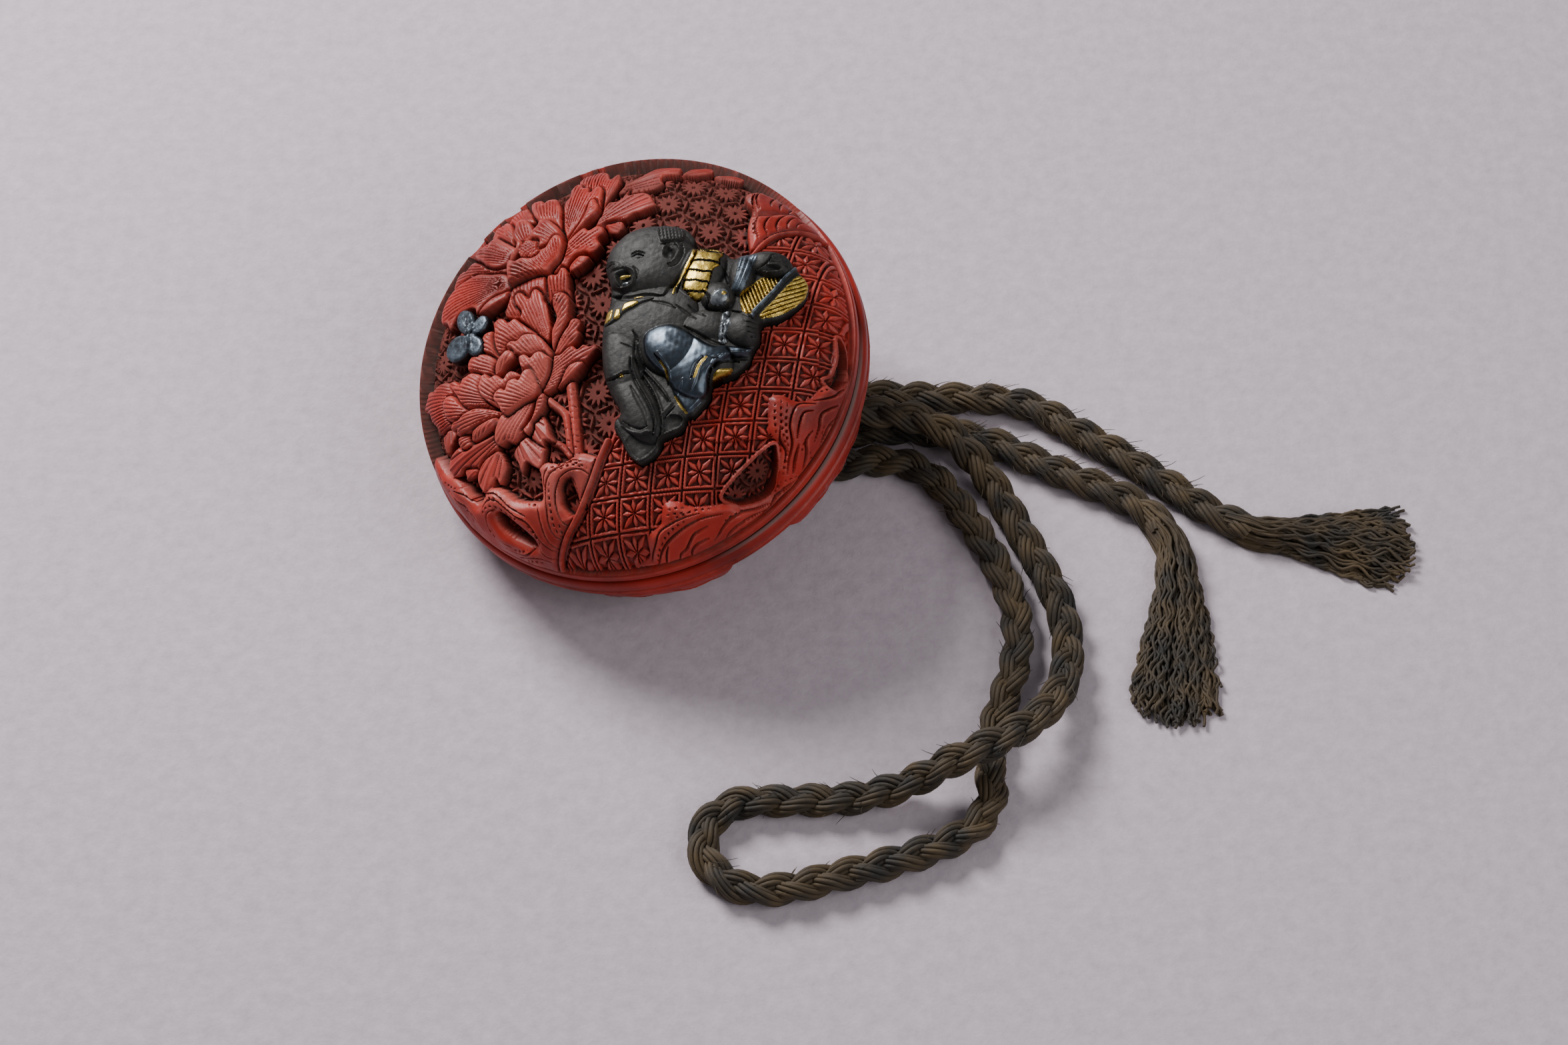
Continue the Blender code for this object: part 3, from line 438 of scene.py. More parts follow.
    def fold(self, points, inside, width=0.3, depth=0.3, step=0.2, dash=0.0):
        """A gouged line, deepest in its middle, with the rock higher on its left; or a row of dashes."""
        line = smooth_line(points, False, 6)
        at = self.near(line, 1.6)
        at = at[inside[at]]
        x, y = self.x[at], self.y[at]
        gap, run, side = np.full(x.shape, 99.0), np.zeros(x.shape), np.zeros(x.shape)
        start = 0.0
        for (x0, y0), (x1, y1) in zip(line, line[1:]):
            dx, dy = x1 - x0, y1 - y0
            length = math.hypot(dx, dy)
            t = np.clip(((x - x0) * dx + (y - y0) * dy) / length ** 2, 0, 1)
            far = np.hypot(x - x0 - t * dx, y - y0 - t * dy)
            closer = far < gap
            gap = np.where(closer, far, gap)
            run = np.where(closer, start + t * length, run)
            side = np.where(closer, np.sign(dx * (y - y0) - dy * (x - x0)), side)
            start += length
        share = np.sin(math.pi * np.clip(run / start, 0.03, 0.97)) ** 0.6
        half = width / 2 * (0.3 + 0.7 * share)
        cut = depth * (1 - ease(gap, 0.2 * half, half)) * (0.4 + 0.6 * share)
        if dash:
            cut = cut * ease(np.sin(2 * math.pi * run / dash), -0.1, 0.6)
        swelling = step * share * np.exp(-gap / 0.55) * (side > 0) * ease(gap, 0.0, 0.12)
        self.height[at] += swelling - cut

    def recess(self, outline):
        """A hollow cut down to the ground, with the thin edge of the floor round it left standing."""
        at, depth = self.patch(smooth_line(outline, True), 0.6)
        rim = ease(depth, -0.42, -0.34)
        self.height[at] = self.height[at] * (1 - rim) - 0.5 * rim
        self.height[at] -= 0.25 * groove(depth + 0.5, 0.2)
        self.lay(at, depth > 0, self.ground[at])

    def pocket(self, outline, gap=0.06):
        """The flat-bottomed seat of an inlay, a hair wider than the inlay."""
        at, depth = self.patch(outline, 1.0)
        self.lay(at, depth > -gap, np.full(len(at), POCKET_FLOOR))

    # Modelled metal

    def bump(self, centre, size, degrees, rise, power=1.0):
        """A soft round swelling, or a hollow when its rise is negative."""
        at = self.near([centre], max(size))
        along, across = along_across(self.x[at] - centre[0], self.y[at] - centre[1], math.radians(degrees))
        share = (along / size[0]) ** 2 + (across / size[1]) ** 2
        self.height[at] += rise * np.clip(1 - share, 0, 1) ** power

    def line(self, points, width, rise, taper=True):
        """A cut line, or a raised cord when its rise is positive."""
        route = smooth_line(points)
        at = self.near(route, width)
        x, y = self.x[at], self.y[at]
        gap = distance_to(x, y, route, False)[0]
        if taper:
            from_ends = [np.hypot(x - end[0], y - end[1]) for end in (route[0], route[-1])]
            width = width * (0.35 + 0.65 * ease(np.minimum(*from_ends), 0.0, 1.2))
        self.height[at] += rise * np.clip(1 - (2 * gap / width) ** 2, 0, 1)

    def draw(self, strokes):
        """Cut and raised lines: their places, width and rise."""
        for points, width, rise in strokes:
            self.line(points, width, rise)

    def plate(self, outline, metal, rise=0.0, bevel=0.2):
        """A raised patch of one metal; gives back its spots and their depth for further work."""
        at, depth = self.patch(smooth_line(outline, True))
        self.height[at] += rise * ease(depth, 0.0, bevel)
        inside = depth > 0.02
        if metal is not None:
            self.metal[at[inside]] = metal
        return at[inside], depth[inside]

    def level_to(self, at, depth, height, soft):
        """Bring a patch to one height, blending over its edge."""
        share = ease(depth, 0.0, soft)
        self.height[at] = self.height[at] * (1 - share) + height * share

    def combed(self, at, depth, heading, spacing, cut, sharp=0.5):
        """Parallel cuts across a patch."""
        across = along_across(self.x[at], self.y[at], math.radians(heading))[1]
        saw = np.abs((across / spacing) % 1.0 - 0.5) * 2
        self.height[at] -= cut * ease(saw, sharp, 1.0) * ease(depth, 0.03, 0.2)


# Motifs, on the lid's dome unrolled flat: x to the right and y away from the tassels, from the lid's middle
TERRACE = [
    (-0.1, -11.2), (-1.2, -13.2), (-2.2, -15.3), (-3.8, -18), (-5.8, -20.2), (-7.8, -22.8), (-9.4, -25.2),
    (-4, -26.2), (2, -26.4), (10, -24.4), (18, -19.3), (23, -12.8), (25.6, -6), (26.2, 1), (25.4, 7),
    (23.4, 12.4), (22.3, 11.9), (20.5, 11), (18.5, 10.3), (16.3, 9), (14.3, 7.2), (12, 5), (6, 0), (2, -6)]
ROCK_LEFT = [
    (-21.8, -8.6), (-20, -10.8), (-18, -12.2), (-16.5, -14), (-15.7, -15.1), (-14.6, -14.6), (-13.6, -13.9),
    (-12.4, -14.2), (-11.6, -14.9), (-10.9, -15.6), (-10, -16), (-9, -16.2), (-7.7, -16.2), (-7.5, -14),
    (-7.6, -13.2), (-6.8, -12.7), (-5.6, -13), (-4.6, -12.9), (-3.2, -12.4), (-2, -12.8), (-1.2, -13.4),
    (-2.3, -15.5), (-4.1, -18), (-6.1, -20.2), (-8.1, -22.8), (-9.7, -25.4), (-13.5, -23.2), (-17.5, -20),
    (-21, -15.8), (-24.2, -11.4)]
HOLLOW_LEFT = [
    (-13.9, -16.8), (-13.6, -18.3), (-12.5, -19.6), (-11, -20.5), (-9.9, -20.8), (-9.8, -20),
    (-10.6, -18.9), (-11.6, -17.8), (-12.4, -16.9), (-13.2, -16.4)]
HOLLOW_MIDDLE = [
    (-5.6, -15.2), (-4.9, -14.6), (-4.2, -14.8), (-3.9, -16), (-3.9, -17.6), (-4.4, -18.4), (-5.1, -18.2),
    (-5.7, -17)]
ROCK_RIGHT = [
    (0.5, -25.6), (2, -24.2), (2.3, -22.4), (2.7, -21.4), (3.9, -20.6), (4.2, -19.6), (4.7, -18.5),
    (6.1, -18.5), (7, -19.1), (8.5, -19.3), (11.2, -19.3), (12.5, -19.9), (14.5, -19.7), (15.8, -19),
    (16.3, -18.2), (16.4, -17.2), (16.6, -14), (16, -13.2), (15.4, -12), (15.4, -10.2), (15.7, -8.9),
    (16.8, -8.7), (18.2, -9.3), (19.5, -9.2), (20.4, -8.4), (21.6, -7.4), (23, -6.2), (25.2, -5),
    (25.6, -7), (24, -10.4), (21.5, -14.7), (17.8, -19), (13, -22.6), (7, -25.2)]
HOLLOW_DEEP = [
    (10.5, -18.5), (12.3, -16.5), (15.6, -13.8), (16.2, -14.5), (16.3, -17), (15.8, -18.8), (14.4, -19.5),
    (12.5, -19.7), (11.3, -19.2)]
HOLLOW_RIGHT = [
    (21.5, -7), (22.6, -6.4), (23.5, -4.3), (23.3, -2), (24.6, -3), (25, -5.6), (23.4, -7.6)]
SLAB_UPPER = [
    (13.6, 15.4), (14.2, 16), (15, 16.2), (17, 15.8), (20, 13.9), (20.6, 12.6), (18.5, 12.7), (16.4, 12.3),
    (14.4, 11.8), (14.2, 13), (13.5, 14.5)]
SLAB_LOWER = [
    (14, 11.3), (14.3, 11.7), (16, 12.1), (17, 12.6), (18.5, 13.2), (20, 12.9), (21.6, 12.9), (22.6, 11.8),
    (20.6, 10.7), (18.5, 10), (16.4, 8.9), (14.3, 7.2), (13.9, 8.2), (13.8, 10)]
FOLDS_LEFT = [
    [(-17.6, -12.9), (-16.9, -13.3), (-16.2, -13.9), (-15.6, -14.8)],
    [(-18.6, -12.9), (-17.4, -13.6), (-16.4, -14.5), (-15.4, -15.2)],
    [(-19.8, -12.6), (-18.6, -14), (-17.3, -15.2), (-17.5, -16.6)],
    [(-17.9, -15.2), (-16.9, -15.7), (-16.6, -16.8), (-16.4, -17.8)],
    [(-15.1, -14.9), (-14.2, -14.4), (-13, -14.5), (-12.2, -15.2), (-11.6, -16), (-10.6, -16.8),
     (-9.8, -17.4)],
    [(-14.9, -15.5), (-13.8, -15), (-12.8, -15.3), (-12.1, -16.1), (-11, -17.2), (-10, -17.9),
     (-9.4, -18.9), (-9, -20), (-8.2, -21.1), (-7.7, -21.6)],
    [(-13.4, -16), (-14.5, -16.2), (-15.1, -17), (-15.2, -18), (-14.6, -19.2), (-13.4, -20.2)],
    [(-11.9, -17.4), (-10.8, -18.5), (-9.9, -19.7), (-9.5, -20.8), (-9.1, -21.8), (-8.3, -22.5)],
    [(-14.6, -20.2), (-13.7, -20.9), (-12.6, -21.3), (-11.5, -21.3), (-10.2, -21)],
    [(-13.4, -21.8), (-12.3, -21.8), (-11, -21.8), (-10, -22.1), (-9, -22.7)],
    [(-13, -22.6), (-11.6, -22.6), (-10.4, -23.2), (-9.4, -23.8)],
    [(-6.6, -13.3), (-7.1, -14.2), (-7.2, -15.4)],
    [(-3, -13.4), (-3.9, -13), (-4.8, -13.3), (-6, -13.7), (-6.7, -14.5), (-7.1, -16), (-7.2, -17.4),
     (-7.3, -18.6), (-7.1, -19.8), (-6.4, -20.8)],
    [(-2.4, -14.7), (-3.2, -14.1), (-4.4, -14), (-5.5, -14.5), (-6.1, -15.8), (-6.2, -17.3), (-5.9, -18.6),
     (-5.3, -19.5)], [(-8.2, -17), (-8.2, -18.6), (-8, -20.2), (-7.4, -21.4)],
    [(-21, -10.6), (-20.2, -12.6), (-19.2, -14.4), (-18.6, -16.2)],
    [(-19.4, -16.4), (-17.8, -18.4), (-15.8, -20.2)]]
DASHES_LEFT = [
    [(-15.2, -16), (-14.2, -15.6), (-13.2, -15.8), (-12.4, -16.5), (-11.5, -17.3), (-10.6, -17.6)],
    [(-14.9, -16.6), (-15.4, -17.8), (-15.3, -18.8)], [(-9.9, -18.4), (-9.4, -19.4), (-9.1, -20.4)],
    [(-6.9, -13.6), (-5.9, -13.3), (-4.6, -13.1), (-3.4, -13.5), (-2.5, -14.1)],
    [(-6.6, -13.9), (-5.4, -13.7), (-4, -13.5), (-2.9, -14)],
    [(-6.5, -14.8), (-6.7, -16), (-6.8, -17.6), (-6.8, -19), (-6.4, -20.4)],
    [(-6.2, -18.9), (-6.3, -19.8), (-6.1, -20.6)], [(-14.4, -14.8), (-13.2, -14.9), (-12.6, -15.3)],
    [(-9.4, -16.4), (-8.6, -16.6), (-8, -16.4)], [(-13.2, -20.6), (-12.2, -20.9), (-11.2, -20.9)],
    [(-12.4, -22.2), (-11.2, -22.3), (-10.2, -22.7)], [(-20.2, -11.6), (-19.2, -12.3), (-18.2, -12.8)]]
FOLDS_RIGHT = [
    [(7.9, -19.9), (6.4, -20.1), (5, -20.6), (3.7, -21.4), (3.1, -22.5), (2.6, -23.6), (2.2, -24.6)],
    [(10.2, -20.2), (8.4, -20.4), (6.7, -20.9), (5.3, -21.7), (4.2, -22.6), (3.5, -23.5), (3, -24.6),
     (2.6, -25.6)], [(4.3, -22.9), (3.9, -24), (3.6, -25.6)],
    [(8.6, -21.3), (7.2, -21.9), (6.5, -22.9), (6.1, -23.6), (5.4, -24.2), (5.1, -25.4)],
    [(8.6, -22.7), (7.4, -23.1), (6.7, -23.9), (6.5, -25.2)],
    [(15.6, -19.9), (13.9, -20.3), (12.2, -20.4), (11, -20.8), (10.2, -21.7), (9.6, -22.7), (9.1, -23.3)],
    [(15, -20.6), (13.4, -21), (12, -21.6), (11, -22.5), (10.4, -23.6)],
    [(19.2, -17.7), (17.8, -18.2), (16.4, -19), (15.4, -20.4), (14, -21.4), (12.8, -22.2), (12, -23.2)],
    [(20.4, -16.8), (18.8, -17.5), (17.2, -18.2), (16.6, -18.8)],
    [(20.3, -9.5), (18.7, -9.6), (17.9, -10.3), (17.5, -11.8), (17.7, -13.5), (17.4, -15), (17.3, -16.8)],
    [(20, -10.2), (19, -10.5), (18.5, -11.6), (18.2, -13)], [(18.4, -13.6), (18.1, -15), (18, -16.7)],
    [(20, -12.2), (19.2, -13.2), (19.4, -14.6), (19.2, -16.4)],
    [(16.5, -11.9), (16.5, -13.2), (17.1, -14.3), (17, -15.6)],
    [(23.4, -9.3), (22, -9.9), (21, -10.6), (20.8, -12), (20.4, -13.4)],
    [(24.4, -7.4), (22.8, -8.4), (21.4, -8.9), (20.2, -9.2)],
    [(23.6, -10.6), (22.6, -11.2), (21.9, -12.4), (21.4, -14)], [(25, -6.4), (23.9, -7), (22.6, -7.4)]]
DASHES_RIGHT = [
    [(16.1, -9.6), (16, -11), (16.1, -12.6)], [(16.7, -9.3), (16.6, -10.8), (16.7, -12.2), (17, -13.8)],
    [(17.3, -9.6), (17.1, -11), (17.1, -12.6), (17.3, -14.4)], [(4.9, -19.2), (5.7, -19.1), (6.5, -19.2)],
    [(4.7, -19.7), (5.7, -19.6), (6.9, -19.7)], [(4.9, -20.2), (6, -19.9), (7.4, -19.6), (9.2, -19.6)],
    [(6.4, -20.4), (5.2, -21), (4.2, -21.9), (3.6, -22.8)], [(2.8, -24.6), (3.1, -23.6), (3.7, -22.6)],
    [(12.4, -20.2), (11, -20.6), (10.2, -21.2)], [(15.6, -19.3), (16.4, -18.4), (16.7, -17.6)],
    [(17, -17.5), (18.2, -17.2), (19.6, -16.9)], [(17.2, -14.6), (17, -15.8), (16.9, -16.8)],
    [(19, -13.4), (18.8, -14.4)], [(21.6, -11.6), (21.4, -12.8)], [(22.2, -7.2), (23, -6.8), (24, -6.2)],
    [(21, -8.2), (22, -7.8)], [(19.9, -14.4), (20.4, -15.4)]]
SLAB_FOLDS = [
    [(15.4, 16), (14.7, 15.2), (14.6, 14), (14.9, 12.6)],
    [(14.5, 15.5), (14.2, 14.4), (14.4, 13), (14.6, 12)], [(16.8, 15.4), (16.2, 14.4), (16.1, 13.4)],
    [(18, 14.9), (17.2, 14.2), (17.1, 13.2)], [(19, 14.2), (18.3, 13.6), (18.1, 13.1)],
    [(15, 11.6), (14.6, 10.8), (14.5, 9.6), (14.8, 8.4)], [(16.6, 12), (15.8, 11.2), (15.4, 10), (15.7, 9)],
    [(17.8, 12.2), (17, 11.4), (16.6, 10.4), (16.7, 9.6)],
    [(19.6, 12.4), (18.4, 11.9), (17.8, 11), (17.7, 10.2)],
    [(21, 12.3), (19.6, 11.8), (18.9, 11.2), (18.7, 10.6)]]
SLAB_DASHES = [
    [(14.2, 15.4), (14.2, 14.2), (14.3, 13)], [(14.4, 11.2), (14.3, 10), (14.4, 8.8)],
    [(17.6, 12.8), (18.8, 12.9), (20.2, 12.7)]]

# Petals: outline, the place from which their cuts fan, and the height of their edge; the lowest first
PEONY_UPPER = [
    ([(-4.2, 20.3), (-3.3, 20.5), (-2.5, 20.4), (-2.2, 20.8), (-1.7, 20.7), (-1, 19.8), (-0.6, 18.5),
      (-0.4, 18.6), (0, 19), (0.4, 19), (0.6, 18.2), (0.4, 17), (-0.2, 15.7), (-1, 14.3), (-1.5, 13.5),
      (-2, 15.5), (-4, 18.3)], (-2.5, 9), -0.8),
    ([(-12.2, 16.3), (-12.3, 17.6), (-11.4, 18.6), (-10.9, 17.9), (-10.2, 18.2), (-9.7, 17.2), (-8.5, 15.2),
      (-9.3, 14.7), (-10.7, 15), (-11.8, 15.8)], (-6, 9), -0.75),
    ([(-16.4, 13.2), (-16.2, 14.4), (-15.2, 15.2), (-14.6, 14.6), (-13.9, 14.8), (-13.4, 13.7),
      (-14.7, 12.7), (-15.6, 12.6)], (-9, 9), -0.75),
    ([(-4, 18.6), (-3.6, 18.3), (-3.3, 17.7), (-2.7, 17.5), (-2.5, 16.7), (-2, 17.3), (-1.5, 17.4),
      (-1.15, 16.8), (-1.1, 16), (-1.3, 14.2), (-1.7, 13.2), (-3.3, 12.2), (-4.7, 11), (-5.2, 13),
      (-5.25, 15), (-5.1, 16), (-4.7, 16.7), (-4.8, 17.5), (-4.5, 18.3)], (-5.5, 8), -0.6),
    ([(-2.5, 15), (-2.3, 15.4), (-1.8, 15.5), (-1.6, 15), (-1.3, 14.4), (-1.5, 13.5), (-2.5, 12.7),
      (-4, 11.5), (-4.7, 11), (-4.3, 11.6), (-3.2, 13), (-2.7, 14)], (-7.5, 12), -0.3),
    ([(-13.6, 14.7), (-13.8, 15.8), (-13, 16.4), (-12.5, 15.9), (-11.9, 16.1), (-11, 14.7), (-10.7, 13.7),
      (-10.2, 12.7), (-11, 12.2), (-11.8, 13), (-12.8, 13.7), (-13.5, 14)], (-7, 9), -0.55),
    ([(-9.3, 17), (-9.2, 17.5), (-8.5, 17.7), (-7.8, 17.35), (-7.65, 16.8), (-7.3, 17.1), (-6.7, 17.1),
      (-6, 16.75), (-5.7, 16), (-5.4, 15), (-5.25, 13.7), (-5.2, 12.7), (-5, 11.3), (-6.3, 13.7),
      (-7.7, 14.2), (-8.5, 15.2)], (-5.8, 8), -0.45),
    ([(-10.6, 14.8), (-10.2, 15.3), (-9.5, 15.2), (-8.9, 14.6), (-8.4, 13.7), (-8.2, 12.6), (-9.3, 12),
      (-10, 12.1), (-10.7, 13), (-10.6, 14)], (-8.3, 9.5), -0.3),
    ([(-17.8, 9.7), (-17.6, 10.8), (-16.8, 11.4), (-16.2, 11.1), (-15.5, 11.7), (-14.3, 11.5),
      (-13.3, 10.7), (-12, 10.2), (-11, 9.7), (-11.3, 8.8), (-13, 8.5), (-14.5, 8.8), (-16, 9.2),
      (-17, 8.9), (-17.7, 9.1)], (-9.5, 8.5), -0.55),
    ([(-15.4, 12.6), (-14.9, 13.3), (-14.2, 13.3), (-13.8, 12.9), (-13.6, 13.7), (-12.8, 14), (-12.2, 13.5),
      (-11.3, 12.7), (-10.7, 12.2), (-10, 11.5), (-10.7, 10.3), (-12, 9.8), (-13.3, 10.3), (-14.3, 11.3),
      (-15, 11.9)], (-8, 9), -0.3),
    ([(-19, 6.3), (-18.8, 7.5), (-18.2, 8.5), (-17.2, 9.2), (-16, 9.5), (-14.3, 9.7), (-12.7, 9.2),
      (-11, 8.7), (-10.2, 7), (-10.7, 6.3), (-12, 6.4), (-13.3, 5.6), (-14.1, 4.6), (-14.5, 5.5),
      (-16, 5.4), (-16.7, 4.7), (-17.3, 3.8), (-17.9, 4.9), (-18.7, 5.2)], (-9.5, 7.5), -0.4),
    ([(-13.8, 4.5), (-13.3, 5.3), (-12.3, 6.2), (-11, 6.6), (-10, 6.7), (-10.2, 6.2), (-10.8, 5.7),
      (-12, 5.1), (-13, 4.6)], (-10, 10), -0.2),
    ([(-6, 8.2), (-5, 10), (-4, 11), (-2.7, 11.9), (-2.1, 11.5), (-1.3, 11.85), (-0.6, 11.5), (-0.5, 10.8),
      (-1.1, 10.2), (-0.8, 9.5), (-1.1, 8.8), (-1.9, 8.6), (-2.4, 8.9), (-3.3, 8.8), (-4, 8.3), (-4.5, 7.6),
      (-6.2, 7.2)], (-8, 7), -0.4),
    ([(-4.25, 7.4), (-4, 8.2), (-3.2, 8.8), (-2.5, 8.6), (-1.9, 8.2), (-2.2, 7.6), (-3, 7.2), (-3.8, 7)],
     (-6.5, 10), -0.3),
    ([(-10, 12.3), (-9.5, 12.2), (-9.3, 11.3), (-9.7, 10.7), (-10.5, 10.1), (-10.9, 10.3), (-10.7, 11),
      (-10.1, 11.5)], (-10.5, 8.5), 0),
    ([(-7.7, 14.3), (-6.8, 14.1), (-6, 13.4), (-5.3, 12.5), (-5, 11.3), (-4.9, 10.5), (-5, 9.8), (-6, 11),
      (-7.4, 10.7), (-7.5, 11.7), (-8.4, 12.1), (-8.5, 12.9), (-7.9, 13.6)], (-3.6, 9.6), 0.1),
    ([(-10.9, 9.7), (-10.5, 10.1), (-9.9, 9.75), (-9.2, 9.95), (-8.3, 9.7), (-7.6, 9.9), (-7.2, 10.4),
      (-6.7, 10.6), (-6.2, 11.4), (-5.7, 11.8), (-5.1, 11.5), (-4.8, 10.7), (-5, 9.8), (-5.3, 9),
      (-6.2, 8.2), (-6.7, 7.5), (-8, 7.2), (-9.3, 6.8), (-10.3, 6.9), (-10.6, 7.5), (-10.8, 8.4)],
     (-4.6, 5.6), 0.3)]
